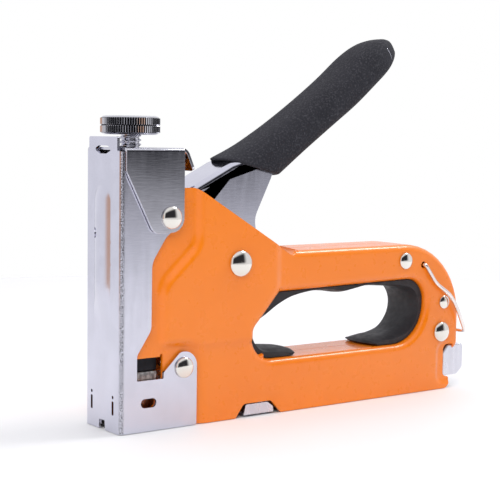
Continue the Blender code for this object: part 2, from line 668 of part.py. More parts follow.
# ---------------------------------------------------------------- magazine
def make_magazine():
    t = 1.0
    half = MAGAZINE_HALF
    channel = box((3.4, 151.8), (-half, half), (0.6, MAGAZINE_TOP))
    channel = cut(channel, box((0, 156), (-half + t, half - t), (-1, MAGAZINE_TOP - t)))
    for side in (-1, 1):
        foot = sorted((side * (half - 0.5), side * 11.6))
        lip = sorted((side * 10.7, side * 11.6))
        channel = add(channel, box((52.0, 65.4), foot, (0.6, 1.5)))
        outline = rounded([(52.0, 0.6, 0), (65.4, 0.6, 0), (65.2, 2.6, 0.6), (62.6, 4.5, 0.8), (52.8, 4.5, 0.8)], 3)
        channel = add(channel, prism_y(outline, *lip))
    finish(channel, "magazine_channel", CHROME, smooth=False)

    rail = box((3.8, 152.2), (-RAIL_HALF, RAIL_HALF), (0.9, 13.6))
    rail = cut(rail, box((0, 156), (-RAIL_HALF + 0.9, RAIL_HALF - 0.9), (1.8, 20)))
    finish(rail, "staple_rail", STEEL, smooth=False)

    cap_side = rounded([(152.8, 4.9, 0.8), (160.8, 4.9, 2.0), (164.0, 7.6, 2.0), (164.0, 17.6, 1.5), (155.2, 17.6, 2.5),
                        (152.8, 14.6, 1.5)], 4)
    cap = prism_y(cap_side, -10.9, 10.9)
    finish(cap, "magazine_end_cap", CHROME)

    pusher = box((4.2, 17.0), (-5.6, 5.6), (5.0, 15.3))
    pusher = cut(pusher, box((0, 20), (-4.75, 4.75), (0, 13.9)))
    pusher = add(pusher, box((5.0, 13.0), (-3.1, 3.1), (2.4, 14.4)))
    pusher = cut(pusher, prism_x(circle(0, ROD_Z, 1.5, 12), 0, 20))
    finish(pusher, "staple_pusher", STEEL, smooth=False)

    rod = prism_x(circle(0, ROD_Z, 1.1, 10), 4.4, 152.2)
    finish(rod, "pusher_rod", STEEL)

    turns, start, end = 18, 13.8, 151.6
    coil = []
    for i in range(turns * 8 + 1):
        angle = 2 * pi * i / 8
        coil.append((start + (end - start) * i / (turns * 8), 2.2 * cos(angle), ROD_Z + 2.2 * sin(angle)))
    finish(tube(coil, 0.35, 4), "pusher_spring", STEEL)


# ---------------------------------------------------------------- storage latch and rubber insert
def make_latch():
    """Wire bail on the rear of the housing, which swings up over the closed lever."""
    x, z = LATCH_PIVOT
    leg = [(x, -10.0, z), (x, -11.6, z), (x + 0.2, -12.9, z - 0.2), (x + 3.0, -13.1, z - 3.8),
           (146.0, -13.2, 43.4), (151.8, -13.9, 39.2), (154.8, -14.1, 35.8), (157.6, -13.9, 31.6),
           (160.4, -13.4, 26.8), (162.4, -12.8, 23.6), (162.9, -11.2, 22.9), (162.9, -8.0, 22.8)]
    far = [(px, -py, pz) for px, py, pz in reversed(leg)]
    path = smooth_path(leg + far, 2.6)
    finish(tube(path, WIRE_RADIUS, 6), "latch_wire", STEEL, (x, 0, z))


def make_insert():
    """C-shaped rubber lining of the finger opening, with finger waves along its top."""
    outside = rounded(shift_corners(OPENING, -GAP), 6)
    insert = prism_y(outside, -LINING_HALF, LINING_HALF)
    room = smooth_path([
        (78.0, 0, 22.0), (70.0, 0, 23.0), (62.5, 0, 23.8), (58.6, 0, 28.0), (58.4, 0, 32.6), (62.8, 0, 37.2),
        (69.0, 0, 39.9), (76.0, 0, 41.4), (86.0, 0, 43.0), (93.0, 0, 42.8), (100.5, 0, 41.8), (106.5, 0, 42.5),
        (113.5, 0, 43.5), (121.5, 0, 43.1), (129.0, 0, 42.3), (135.6, 0, 40.6), (138.6, 0, 36.0), (138.0, 0, 30.5),
        (134.0, 0, 25.6), (128.0, 0, 23.4), (122.0, 0, 22.9), (116.8, 0, 22.4),
    ], 2.5)
    hole = [(px, pz) for px, _, pz in room] + [(116.2, 15.0), (78.0, 15.0)]
    insert = cut(insert, prism_y(hole, -12, 12))
    finish(insert, "grip_insert", RUBBER)


clear_scene()
make_housing()
make_nose()
make_bracket()
make_adjuster()
make_striker()
make_lever()
make_rivets()
make_magazine()
make_latch()
make_insert()
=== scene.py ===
"""Hand staple gun with pressed orange housing, chrome nose, padded squeeze lever and knurled power adjuster.

Sizes are in millimetres: x back from the nose front, y across from the mid-plane, z up from the base.
"""

from math import atan2, ceil, cos, hypot, pi, radians, sin, tan

import bmesh
import bpy
import numpy as np
from mathutils import Matrix, Vector


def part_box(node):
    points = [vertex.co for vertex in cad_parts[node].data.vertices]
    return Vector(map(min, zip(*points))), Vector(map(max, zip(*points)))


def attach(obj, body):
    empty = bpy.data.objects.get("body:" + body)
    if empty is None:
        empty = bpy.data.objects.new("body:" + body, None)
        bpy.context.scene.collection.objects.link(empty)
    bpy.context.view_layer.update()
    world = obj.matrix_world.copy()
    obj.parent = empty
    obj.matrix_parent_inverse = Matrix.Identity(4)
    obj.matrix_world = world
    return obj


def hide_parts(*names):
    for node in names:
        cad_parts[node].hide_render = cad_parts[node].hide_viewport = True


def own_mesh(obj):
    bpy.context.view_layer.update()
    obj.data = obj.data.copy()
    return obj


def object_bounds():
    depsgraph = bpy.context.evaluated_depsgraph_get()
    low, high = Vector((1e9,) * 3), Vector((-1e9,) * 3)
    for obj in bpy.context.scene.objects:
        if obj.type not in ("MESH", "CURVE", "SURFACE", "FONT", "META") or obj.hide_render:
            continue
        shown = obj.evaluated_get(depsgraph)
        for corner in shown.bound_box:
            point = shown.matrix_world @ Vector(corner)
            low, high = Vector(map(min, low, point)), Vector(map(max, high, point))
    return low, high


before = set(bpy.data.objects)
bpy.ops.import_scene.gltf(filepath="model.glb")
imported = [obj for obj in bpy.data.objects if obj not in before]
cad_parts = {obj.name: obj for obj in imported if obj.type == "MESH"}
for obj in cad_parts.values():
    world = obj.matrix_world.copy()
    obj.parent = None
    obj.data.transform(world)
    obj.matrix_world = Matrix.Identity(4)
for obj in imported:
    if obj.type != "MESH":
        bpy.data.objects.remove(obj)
cad_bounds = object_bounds()

# ---------------------------------------------------------------- housing halves
# Two mirrored pressings of 1.2 mm steel sheet, joined by rivets and coated in glossy orange paint.
# The handle's back and the finger opening are rolled over towards the mid-plane, the panel round the
# lever pivot is pressed outwards, and the front steps in so that the nose fits over it.
BLADE_FRONT = 1.6                      # the driver blade stands this far behind the nose front
nose_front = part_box("driver_blade")[0].x * 1000 - BLADE_FRONT
TO_FRAME = Matrix.Scale(0.001, 4) @ Matrix.Translation((nose_front, 0, 0))

HOUSING_SHEET = 1.2
HOUSING_HALF = 11.8                    # half width along the handle and the base
PANEL_HALF = 12.8                      # half width of the panel round the pivot
FRONT_HALF = 10.7                      # half width inside the nose
SEAM = 0.15                            # each half stops this far from the mid-plane
ROLL = 2.5                             # radius of the rolled edges
ROLL_START = (72.4, 75.0)              # the roll along the handle grows between these lengths
PRESS_RAMP = 3.4                       # width of the soft step round a pressed area
REAR_ROLL_FOOT = 18.0                  # the roll round the rear ends at this height
HANDLE_TOP = 59.5
REAR = 160.5
HOUSING_OUTLINE = [                    # x, z and corner radius, with the rolled edges drawn short
    (2.0, 0.0, 0),
    (48.2, 0.0, 0),
    (51.8, 4.9, 2.0),
    (64.2, 4.9, 2.0),
    (68.8, 0.0, 0),
    (155.6, 0.0, 3.0),
    (155.6, 4.6, 0.8),
    (152.4, 4.6, 2.0),
    (152.4, 18.0, 2.5),
    (REAR - ROLL, 18.0, 0.8),
    (REAR - ROLL, HANDLE_TOP - ROLL, 27.5),
    (74.3, HANDLE_TOP - ROLL, 7.0),
    (30.4, 83.2, 2.0),
    (2.0, 83.2, 0),
]
OPENING_RIM = [                        # the finger opening where its roll leaves the flat of the sheet
    (53.4, 17.4, 12.0),
    (144.3, 17.4, 18.0),
    (144.3, 48.4, 11.5),
    (66.5, 47.05, 4.5),
    (53.4, 32.8, 6.5),
]
PANEL_OUTLINE = [
    (29.0, 90.0, 0),
    (29.0, 64.5, 8.0),
    (15.0, 51.5, 8.0),
    (15.0, 27.6, 0),
    (60.0, 27.6, 0),
    (60.0, 38.0, 0),
    (66.5, 46.0, 0),
    (66.5, 70.0, 0),
]
NOSE_STEP = [                          # the front of the housing steps in along this line
    (0.0, -1.0, 0),
    (33.3, -1.0, 0),
    (33.3, 29.2, 7.0),
    (17.0, 29.2, 2.0),
    (17.0, 50.0, 8.0),
    (31.5, 63.5, 8.0),
    (31.5, 90.0, 0),
    (0.0, 90.0, 0),
]
CAP_DISH = [(148.6, 2.6, 3.0), (156.0, 2.6, 0), (156.0, 19.0, 0), (148.6, 19.0, 4.0)]
CAP_DISH_DEPTH = 0.7
SIDE_WINDOW = [                        # window over the striker, with a relief nick at its top corners
    (5.9, 17.0, 0),
    (17.7, 17.0, 0),
    (17.7, 26.1, 0.3),
    (16.7, 26.1, 0.3),
    (16.7, 25.2, 0),
    (6.9, 25.2, 0),
    (6.9, 26.1, 0.3),
    (5.9, 26.1, 0.3),
]
SLOT_MIDDLE = (11.4, 9.8)
SLOT_SIZE = (6.2, 3.2)
LATCH_HOLE = (139.6, 51.2, 1.35)


def rounded(corners, steps=8):
    """Points of a closed outline whose corners (a, b, radius) are rounded with arcs."""
    points = []
    for i, (a, b, radius) in enumerate(corners):
        if not radius:
            points.append((a, b))
            continue
        corner = Vector((a, b))
        before = (Vector(corners[i - 1][:2]) - corner).normalized()
        after = (Vector(corners[(i + 1) % len(corners)][:2]) - corner).normalized()
        half = before.angle(after) / 2
        start = corner + before * radius / tan(half)
        end = corner + after * radius / tan(half)
        centre = corner + (before + after).normalized() * radius / sin(half)
        first = atan2(start.y - centre.y, start.x - centre.x)
        last = atan2(end.y - centre.y, end.x - centre.x)
        sweep = (last - first + pi) % (2 * pi) - pi
        for step in range(steps + 1):
            angle = first + sweep * step / steps
            points.append((centre.x + radius * cos(angle), centre.y + radius * sin(angle)))
    return points


def ring(a, b, radius, count=20):
    """Points round a circle."""
    angles = [2 * pi * i / count for i in range(count)]
    return [(a + radius * cos(angle), b + radius * sin(angle)) for angle in angles]


def slot_outline(a, b, length, height):
    """Slot with round ends."""
    end = height / 2
    half = length / 2
    return rounded([(a - half, b - end, end * 0.98), (a + half, b - end, end * 0.98),
                    (a + half, b + end, end * 0.98), (a - half, b + end, end * 0.98)], 6)


def steps_between(low, high, step):
    """Evenly spaced values from low to high."""
    count = max(1, round((high - low) / step))
    return [low + (high - low) * i / count for i in range(count + 1)]


def flat_blank(loops, across, up):
    """Flat sheet blank.  The first loop is its outline and the others are holes.

    It is scored along the lines given in across and up, so that pressing it bends it smoothly.
    """
    blank = bmesh.new()
    for loop in loops:
        spots = [blank.verts.new((a, b, 0.0)) for a, b in loop]
        for start, end in zip(spots, spots[1:] + spots[:1]):
            blank.edges.new((start, end))
    bmesh.ops.triangle_fill(blank, use_beauty=True, edges=blank.edges[:], normal=(0, 0, 1))
    for direction, lines in ((Vector((1, 0, 0)), across), (Vector((0, 1, 0)), up)):
        for line in lines:
            everything = blank.verts[:] + blank.edges[:] + blank.faces[:]
            bmesh.ops.bisect_plane(blank, geom=everything, dist=0.0005, plane_co=direction * line,
                                   plane_no=direction)
    slanted = []
    for edge in blank.edges:
        run = edge.verts[1].co - edge.verts[0].co
        if not edge.is_boundary and abs(run.x) > 0.001 and abs(run.y) > 0.001:
            slanted.append(edge)
    bmesh.ops.dissolve_edges(blank, edges=slanted, use_verts=False)
    if blank.faces[:] and sum(face.normal.z for face in blank.faces) < 0:
        bmesh.ops.reverse_faces(blank, faces=blank.faces[:])
    return blank


def outline_distance(points, loop):
    """Distance of each flat point to a closed outline, negative inside it."""
    corners = np.array(loop)
    following = np.roll(corners, -1, axis=0)
    runs = following - corners
    offsets = points[:, None, :] - corners[None, :, :]
    shares = np.clip((offsets * runs).sum(2) / (runs ** 2).sum(1), 0, 1)
    nearest = np.linalg.norm(offsets - shares[:, :, None] * runs, axis=2).min(1)
    rises = np.where(np.abs(runs[:, 1]) < 1e-9, 1e-9, runs[:, 1])
    meets = corners[:, 0] + (points[:, None, 1] - corners[:, 1]) * runs[:, 0] / rises
    spans = (corners[:, 1] > points[:, None, 1]) != (following[:, 1] > points[:, None, 1])
    inside = (spans & (points[:, :1] < meets)).sum(1) % 2 == 1
    return np.where(inside, -nearest, nearest)


def pressed(points, loop, ramp):
    """1 inside an outline and 0 outside it, with a soft step between that is ramp wide."""
    share = np.clip(0.5 - outline_distance(points, loop) / ramp, 0, 1)
    return share * share * (3 - 2 * share)


def roll_rim(sheet, rim, radius, seam, soft_start=None, steps=7):
    """Turn a rim over with a rolled edge, then run it straight back to the seam.

    soft_start holds the two lengths x between which the roll grows to its full size.
    """
    outward = {}
    for edge in rim:
        side = edge.link_loops[0]
        run = side.link_loop_next.vert.co - side.vert.co
        away = Vector((run.z, 0, -run.x)).normalized()
        for spot in edge.verts:
            outward[spot] = outward.get(spot, Vector()) + away
    origin = {spot: (spot.co.copy(), away.normalized()) for spot, away in outward.items()}
    for step in range(1, steps + 2):
        grown = bmesh.ops.extrude_edge_only(sheet, edges=rim)["geom"]
        fresh = {}
        for spot in (item for item in grown if isinstance(item, bmesh.types.BMVert)):
            parent = next(e.other_vert(spot) for e in spot.link_edges if e.other_vert(spot) in origin)
            fresh[spot] = origin[parent]
        for spot, (start, away) in fresh.items():
            grown_share = 1.0
            if soft_start:
                grown_share = min(1.0, max(0.0, (start.x - soft_start[0]) / (soft_start[1] - soft_start[0])))
            angle = radians(90 * min(step, steps) / steps)
            spot.co = start + away * radius * sin(angle) * grown_share
            inwards = radius * (1 - cos(angle)) if step <= steps else -seam - start.y
            spot.co.y = start.y + inwards * grown_share
        rim = [e for e in grown if isinstance(e, bmesh.types.BMEdge)
               and e.verts[0] in fresh and e.verts[1] in fresh]
        origin = fresh


def housing_half():
    """The near half, as the outer skin of the sheet."""
    opening = rounded(OPENING_RIM, 12)
    holes = [opening, rounded(SIDE_WINDOW, 3), ring(*LATCH_HOLE, 16),
             slot_outline(*SLOT_MIDDLE, SLOT_SIZE[0] + 1, SLOT_SIZE[1] + 1)]
    across = steps_between(2.5, 75, 0.75) + steps_between(77, 146, 3) + steps_between(147, 157.5, 0.7)
    sheet = flat_blank([rounded(HOUSING_OUTLINE, 12)] + holes, across, steps_between(0.6, 82.8, 0.8))
    flat = np.array([spot.co[:2] for spot in sheet.verts])
    level = HOUSING_HALF + (PANEL_HALF - HOUSING_HALF) * pressed(flat, rounded(PANEL_OUTLINE), PRESS_RAMP)
    level += (FRONT_HALF - level) * pressed(flat, rounded(NOSE_STEP), PRESS_RAMP)
    level -= CAP_DISH_DEPTH * pressed(flat, rounded(CAP_DISH), 1.8)
    opening_gap = np.abs(outline_distance(flat, opening))
    for spot, depth, gap in zip(sheet.verts, level, opening_gap):
        spot.co = (spot.co.x, -depth, spot.co.y)
        spot.tag = bool(gap < 0.01)
    rim = [edge for edge in sheet.edges if edge.is_boundary]
    opening_edges = [edge for edge in rim if edge.verts[0].tag and edge.verts[1].tag]
    back_edges = [edge for edge in rim if min(edge.verts[0].co.z, edge.verts[1].co.z) > REAR_ROLL_FOOT - 0.01
                  and min(edge.verts[0].co.x, edge.verts[1].co.x) > ROLL_START[0] and not edge.verts[0].tag
                  and hypot(edge.verts[0].co.x - LATCH_HOLE[0], edge.verts[0].co.z - LATCH_HOLE[1]) > 2
                  and max(edge.verts[0].co.z, edge.verts[1].co.z) > REAR_ROLL_FOOT + 0.01]
    roll_rim(sheet, opening_edges, ROLL, SEAM)
    roll_rim(sheet, back_edges, ROLL, SEAM, ROLL_START)
    bmesh.ops.remove_doubles(sheet, verts=sheet.verts, dist=0.002)
    return sheet


def piece(mesh, name, look, sheet=0.0, edge=0.0, segments=2, angle=38):
    """Make a mesh drawn in millimetres into an object in the frame, with its sheet and soft edges."""
    bmesh.ops.transform(mesh, matrix=TO_FRAME, verts=mesh.verts)
    for side in mesh.edges:
        side.smooth = side.calc_face_angle(0.0) < radians(angle)
    data = bpy.data.meshes.new(name)
    mesh.to_mesh(data)
    mesh.free()
    data.shade_smooth()
    data.materials.append(look)
    made = bpy.data.objects.new(name, data)
    bpy.context.scene.collection.objects.link(made)
    if sheet:
        wall = made.modifiers.new("sheet", "SOLIDIFY")
        wall.thickness = sheet * 0.001
        wall.offset = -1
    if edge:
        soft = made.modifiers.new("edges", "BEVEL")
        soft.width = edge * 0.001
        soft.segments = segments
        soft.limit_method = "ANGLE"
        soft.angle_limit = radians(angle)
        soft.harden_normals = True
    weighted = made.modifiers.new("normals", "WEIGHTED_NORMAL")
    weighted.keep_sharp = True
    return made


def add_node(look, kind, sockets, **options):
    """Add a shader node.  sockets maps its inputs to values, or to the outputs that feed them."""
    made = look.node_tree.nodes.new(kind)
    for option, value in options.items():
        setattr(made, option, value)
    for name, value in sockets.items():
        if isinstance(value, bpy.types.NodeSocket):
            look.node_tree.links.new(value, made.inputs[name])
        else:
            made.inputs[name].default_value = value
    return made


def new_look(name, colour, roughness, metallic=0.0):
    """Material with its base values, its shader and its place on the piece."""
    look = bpy.data.materials.new(name)
    look.use_nodes = True
    shader = look.node_tree.nodes["Principled BSDF"]
    shader.inputs["Base Color"].default_value = (*colour, 1)
    shader.inputs["Roughness"].default_value = roughness
    shader.inputs["Metallic"].default_value = metallic
    place = add_node(look, "ShaderNodeTexCoord", {}).outputs["Object"]
    return look, shader, place


def noise(look, place, scale, detail=2.0, stretch=(1, 1, 1)):
    """Noise of so many cells in a metre, stretched along the axes with a low value."""
    spread = add_node(look, "ShaderNodeMapping", {"Vector": place, "Scale": stretch})
    return add_node(look, "ShaderNodeTexNoise", {"Vector": spread.outputs[0], "Scale": scale,
                                                 "Detail": detail}).outputs["Fac"]


def between(look, value, low, high, new_low=0.0, new_high=1.0):
    """Carry a value from one range to another."""
    return add_node(look, "ShaderNodeMapRange", {"Value": value, "From Min": low, "From Max": high,
                                                 "To Min": new_low, "To Max": new_high}).outputs[0]


def tint(look, share, first, second):
    """Colour between two colours, or between the outputs that feed them."""
    colours = [c if isinstance(c, bpy.types.NodeSocket) else (*c, 1) for c in (first, second)]
    sockets = {0: share, 6: colours[0], 7: colours[1]}
    return add_node(look, "ShaderNodeMix", sockets, data_type="RGBA").outputs[2]


def feed(look, shader, name, output):
    look.node_tree.links.new(output, shader.inputs[name])


def bump(look, shader, height, depth, strength=1.0):
    """Relief of so many millimetres."""
    relief = add_node(look, "ShaderNodeBump", {"Height": height, "Distance": depth * 0.001,
                                               "Strength": strength})
    feed(look, shader, "Normal", relief.outputs[0])


ORANGE = (0.97, 0.235, 0.004)
ORANGE_DEEP = (0.94, 0.22, 0.003)
paint, paint_shader, paint_place = new_look("orange_paint", ORANGE, 0.3)
paint_cloud = between(paint, noise(paint, paint_place, 38, 3), 0.35, 0.65)
feed(paint, paint_shader, "Base Color", tint(paint, paint_cloud, ORANGE_DEEP, ORANGE))
paint_haze = noise(paint, paint_place, 260, 3)
feed(paint, paint_shader, "Roughness", between(paint, paint_haze, 0.3, 0.7, 0.24, 0.38))
bump(paint, paint_shader, noise(paint, paint_place, 900, 2), 0.008, 0.4)
paint_shader.inputs["Coat Weight"].default_value = 0.4
paint_shader.inputs["Coat Roughness"].default_value = 0.07

near_half = housing_half()
far_half = near_half.copy()
bmesh.ops.scale(far_half, vec=(1, -1, 1), verts=far_half.verts)
bmesh.ops.reverse_faces(far_half, faces=far_half.faces[:])
housing_left = piece(near_half, "housing_left_pressing", paint, sheet=HOUSING_SHEET, edge=0.18)
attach(housing_left, "housing")
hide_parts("housing_left")
housing_right = piece(far_half, "housing_right_pressing", paint, sheet=HOUSING_SHEET, edge=0.18)
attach(housing_right, "housing")
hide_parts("housing_right")

# ---------------------------------------------------------------- nose
# One 1 mm sheet folded into a U round the front of the housing and chrome plated after folding, which
# leaves the two folds grainy.  It has a swage down its front, a tongue at the top, a notch and two
# staple slots at the foot, and it is held by the two front rivets.
NOSE_SHEET = 1.0
NOSE_HALF = 12.0
FOLD = 2.0                             # outside radius of the two folds
NOSE_FLAT = NOSE_HALF - FOLD
FOLD_RUN = FOLD * pi / 2               # length of a fold in the flat sheet
NOSE_TOP = 95.6
TONGUE = (9.5, 100.5)                  # half width and top of the tongue
SWAGE = (50.0, 78.7, 5.7, 1.8)         # start and end of its middle line, half width, height
SWAGE_FADE = (36.0, 50.0)


def flank(x):
    """Where a point of the nose's side lies on the flat sheet."""
    return NOSE_FLAT + FOLD_RUN + x - FOLD


NOSE_SIDE = [
    (2.0, 0.0, 0.3),
    (flank(31.1), 0.0, 0.6),
    (flank(31.1), 26.4, 5.2),
    (flank(24.3), 26.4, 3.0),
    (flank(17.4), 19.8, 0.4),
    (flank(17.4), 17.7, 0.4),
    (flank(6.7), 17.7, 0.5),
    (flank(6.7), 26.6, 3.0),
    (flank(12.3), 35.0, 5.0),
    (flank(12.4), 58.0, 8.0),
    (flank(18.0), 66.5, 6.0),
    (flank(24.3), 71.5, 3.0),
    (flank(24.3), NOSE_TOP, 0.5),
    (TONGUE[0], NOSE_TOP, 0.3),
    (TONGUE[0], TONGUE[1], 0.7),
]
NOSE_NOTCH = [(-2.0, 3.3, 0.5), (2.0, 3.3, 0.5)]
LENS_HOLE = [
    (-6.2, 96.2, 0.6),
    (-2.2, 94.7, 1.5),
    (2.2, 94.7, 1.5),
    (6.2, 96.2, 0.6),
    (3.0, 97.4, 1.5),
    (-3.0, 97.4, 1.5),
]


def nose_spot(a, b):
    """Fold a point of the flat nose sheet round the front."""
    side = -1 if a > 0 else 1
    reach = abs(a)
    if reach > NOSE_FLAT + FOLD_RUN:
        return FOLD + reach - NOSE_FLAT - FOLD_RUN, side * NOSE_HALF, b
    if reach > NOSE_FLAT:
        angle = (reach - NOSE_FLAT) / FOLD
        return FOLD * (1 - cos(angle)), side * (NOSE_FLAT + FOLD * sin(angle)), b
    low, high, half, height = SWAGE
    gap = hypot(a, max(0.0, b - high)) / half
    fade = min(1.0, max(0.0, (b - SWAGE_FADE[0]) / (SWAGE_FADE[1] - SWAGE_FADE[0])))
    crest = max(0.0, 1 - gap ** 1.9) * fade * fade * (3 - 2 * fade)
    return -height * crest, side * reach, b


far_side = [(-a, b, radius) for a, b, radius in reversed(NOSE_SIDE)]
nose_loops = [rounded(NOSE_SIDE + far_side + NOSE_NOTCH, 8), rounded(LENS_HOLE, 4), ring(-3.4, 67.7, 1.9, 18)]
for side in (-1, 1):
    nose_loops.append(slot_outline(side * flank(SLOT_MIDDLE[0]), SLOT_MIDDLE[1], *SLOT_SIZE))
    nose_loops.append(rounded([(side * 7.2 - 0.65, 6.0, 0.3), (side * 7.2 + 0.65, 6.0, 0.3),
                               (side * 7.2 + 0.65, 10.8, 0.3), (side * 7.2 - 0.65, 10.8, 0.3)], 3))
    nose_loops.append(ring(side * 7.2, 12.2, 0.6, 10))
fold_lines = steps_between(NOSE_FLAT, NOSE_FLAT + FOLD_RUN, FOLD_RUN / 8)
nose_across = [-a for a in fold_lines] + fold_lines + steps_between(-6.2, 6.2, 0.5)
nose_across += [side * flank(x) for side in (-1, 1) for x in (8, 14, 20, 26)]
nose_up = steps_between(6, 34, 7) + steps_between(36, 72, 1.5) + steps_between(73, 86, 0.5)
nose_sheet = flat_blank(nose_loops, nose_across, nose_up)
for spot in nose_sheet.verts:
    spot.co = nose_spot(spot.co.x, spot.co.y)


def plated(name, colour, smooth_to_dull, scratches=0.02, cloud=0.12):
    """Plated metal: clouded, dulled in patches, and finely scratched along its length."""
    look, shader, place = new_look(name, colour, smooth_to_dull[0], 1.0)
    dark = tuple(channel * (1 - cloud) for channel in colour)
    patches = noise(look, place, 120, 4)
    feed(look, shader, "Base Color", tint(look, between(look, patches, 0.4, 0.6), dark, colour))
    scuffs = noise(look, place, 420, 3, (1, 1, 0.12))
    feed(look, shader, "Roughness", between(look, scuffs, 0.35, 0.7, *smooth_to_dull))
    bump(look, shader, noise(look, place, 1500, 2, (0.15, 1, 1)), scratches, 0.35)
    return look, shader, place


def grainy_folds(look, shader, place, colour):
    """Coarse dark grain of the plating along the two front folds of the nose."""
    where = add_node(look, "ShaderNodeSeparateXYZ", {"Vector": place}).outputs
    behind = between(look, where[0], nose_front * 0.001 + 0.0012, nose_front * 0.001 + 0.0019, 1, 0)
    aside = add_node(look, "ShaderNodeMath", {0: where[1]}, operation="ABSOLUTE").outputs[0]
    aside = between(look, aside, 0.0107, 0.0112)
    on_fold = add_node(look, "ShaderNodeMath", {0: behind, 1: aside}, operation="MULTIPLY").outputs[0]
    grain = between(look, noise(look, place, 3200, 2), 0.47, 0.56)
    dark = add_node(look, "ShaderNodeMath", {0: on_fold, 1: grain}, operation="MULTIPLY").outputs[0]
    base = shader.inputs["Base Color"].links[0].from_socket
    feed(look, shader, "Base Color", tint(look, dark, base, colour))


CHROME = (0.66, 0.66, 0.75)
nose_chrome, nose_shader, nose_place = plated("nose_chrome", CHROME, (0.12, 0.2), 0.01, 0.05)
grainy_folds(nose_chrome, nose_shader, nose_place, (0.10, 0.10, 0.11))
nose = piece(nose_sheet, "nose_sheet", nose_chrome, sheet=NOSE_SHEET, edge=0.2)
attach(nose, "housing")
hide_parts("nose_cover")

# ---------------------------------------------------------------- top bracket and screw nut
# An inverted U of 1 mm plated sheet over the top of the nose, with two tapering ears on the upper front
# rivet and a tongue curled down behind.  A steel nut plate under it takes the adjusting screw.
BRACKET_HALF = 13.3
BRACKET_TOP = 96.9
EAR_FOLD = 1.3
EAR_FLAT = BRACKET_HALF - EAR_FOLD
EAR_RUN = EAR_FOLD * pi / 2
CURL_START = 26.1
CURL_RADIUS = 3.5
CURL_TURN = radians(66.8)
CURL_HALF = 9.0


def ear(z):
    """Where a point of an ear lies across the flat sheet."""
    return EAR_FLAT + EAR_RUN + BRACKET_TOP - EAR_FOLD - z


BRACKET_OUTLINE = [
    (1.5, -ear(89.0), 1.5),
    (12.4, -ear(67.8), 3.6),
    (24.5, -ear(68.3), 5.0),
    (24.5, -CURL_HALF, 0.8),
    (36.2, -CURL_HALF, 1.4),
    (36.2, CURL_HALF, 1.4),
    (24.5, CURL_HALF, 0.8),
    (24.5, ear(68.3), 5.0),
    (12.4, ear(67.8), 3.6),
    (1.5, ear(89.0), 1.5),
]


def bracket_spot(a, b):
    """Fold the ears down and curl the rear tongue."""
    reach = abs(b)
    side = -1 if b < 0 else 1
    if reach > EAR_FLAT + EAR_RUN:
        return a, side * BRACKET_HALF, BRACKET_TOP - EAR_FOLD - (reach - EAR_FLAT - EAR_RUN)
    if reach > EAR_FLAT:
        angle = (reach - EAR_FLAT) / EAR_FOLD
        return a, side * (EAR_FLAT + EAR_FOLD * sin(angle)), BRACKET_TOP - EAR_FOLD * (1 - cos(angle))
    if a <= CURL_START:
        return a, b, BRACKET_TOP
    angle = min((a - CURL_START) / CURL_RADIUS, CURL_TURN)
    rest = a - CURL_START - angle * CURL_RADIUS
    return (CURL_START + CURL_RADIUS * sin(angle) + rest * cos(angle), b,
            BRACKET_TOP - CURL_RADIUS * (1 - cos(angle)) - rest * sin(angle))


ear_lines = steps_between(EAR_FLAT, EAR_FLAT + EAR_RUN, EAR_RUN / 7)
curl_lines = steps_between(CURL_START, CURL_START + CURL_TURN * CURL_RADIUS, 0.5)
bracket_sheet = flat_blank([rounded(BRACKET_OUTLINE, 8), ring(10.6, 0, 4.3, 28)],
                           [4, 16, 20] + curl_lines, [-b for b in ear_lines] + ear_lines)
for spot in bracket_sheet.verts:
    spot.co = bracket_spot(spot.co.x, spot.co.y)
BRACKET_CHROME = (0.66, 0.66, 0.72)
bracket_chrome = plated("bracket_chrome", BRACKET_CHROME, (0.06, 0.12), 0.01, 0.1)[0]
bracket = piece(bracket_sheet, "bracket_sheet", bracket_chrome, sheet=1.0, edge=0.22)
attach(bracket, "housing")
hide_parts("top_bracket")


def from_node(name):
    """Drawing of a plain piece, taken from its solid: merged, and its flats made whole."""
    mesh = bmesh.new()
    mesh.from_mesh(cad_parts[name].data)
    bmesh.ops.remove_doubles(mesh, verts=mesh.verts, dist=0.000002)
    bmesh.ops.dissolve_limit(mesh, angle_limit=radians(0.6), verts=mesh.verts, edges=mesh.edges)
    bmesh.ops.transform(mesh, matrix=TO_FRAME.inverted(), verts=mesh.verts)
    return mesh


steel = plated("bright_steel", (0.60, 0.59, 0.58), (0.2, 0.36), 0.03, 0.15)[0]
nut = piece(from_node("screw_nut"), "screw_nut_plate", steel, edge=0.4)
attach(nut, "housing")
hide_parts("screw_nut")

# ---------------------------------------------------------------- adjusting knob and spring seat
# A turned and plated steel knob with two rows of knurling, on an M8 screw that passes through the
# bracket and the nut and presses on a loose steel seat.  Turning it tightens the power spring.
KNOB_X = 10.6
KNOB_BOTTOM = 101.2
KNOB_TOP = 107.6
KNOB_GROOVE = 104.4                    # height of the groove between the two rows of knurling
KNOB_RADIUS = 10.3
KNURL_TEETH = 72
KNURL_DEPTH = 0.5
SCREW_RADIUS = 3.9
SCREW_PITCH = 1.5
SCREW_ROOT = 3.2
SCREW_FOOT = 88.3
KNOB_PROFILE = [                       # radius, height
    (0.0, KNOB_BOTTOM),
    (8.9, KNOB_BOTTOM),
    (9.5, 101.4),
    (9.8, 101.8),
    (KNOB_RADIUS, 102.0),
    (KNOB_RADIUS, KNOB_GROOVE - 0.3),
    (9.8, KNOB_GROOVE),
    (KNOB_RADIUS, KNOB_GROOVE + 0.3),
    (KNOB_RADIUS, 106.8),
    (9.8, 107.0),
    (9.5, 107.4),
    (8.9, KNOB_TOP),
    (7.4, KNOB_TOP),
    (6.9, 107.3),
    (0.0, 107.3),
]


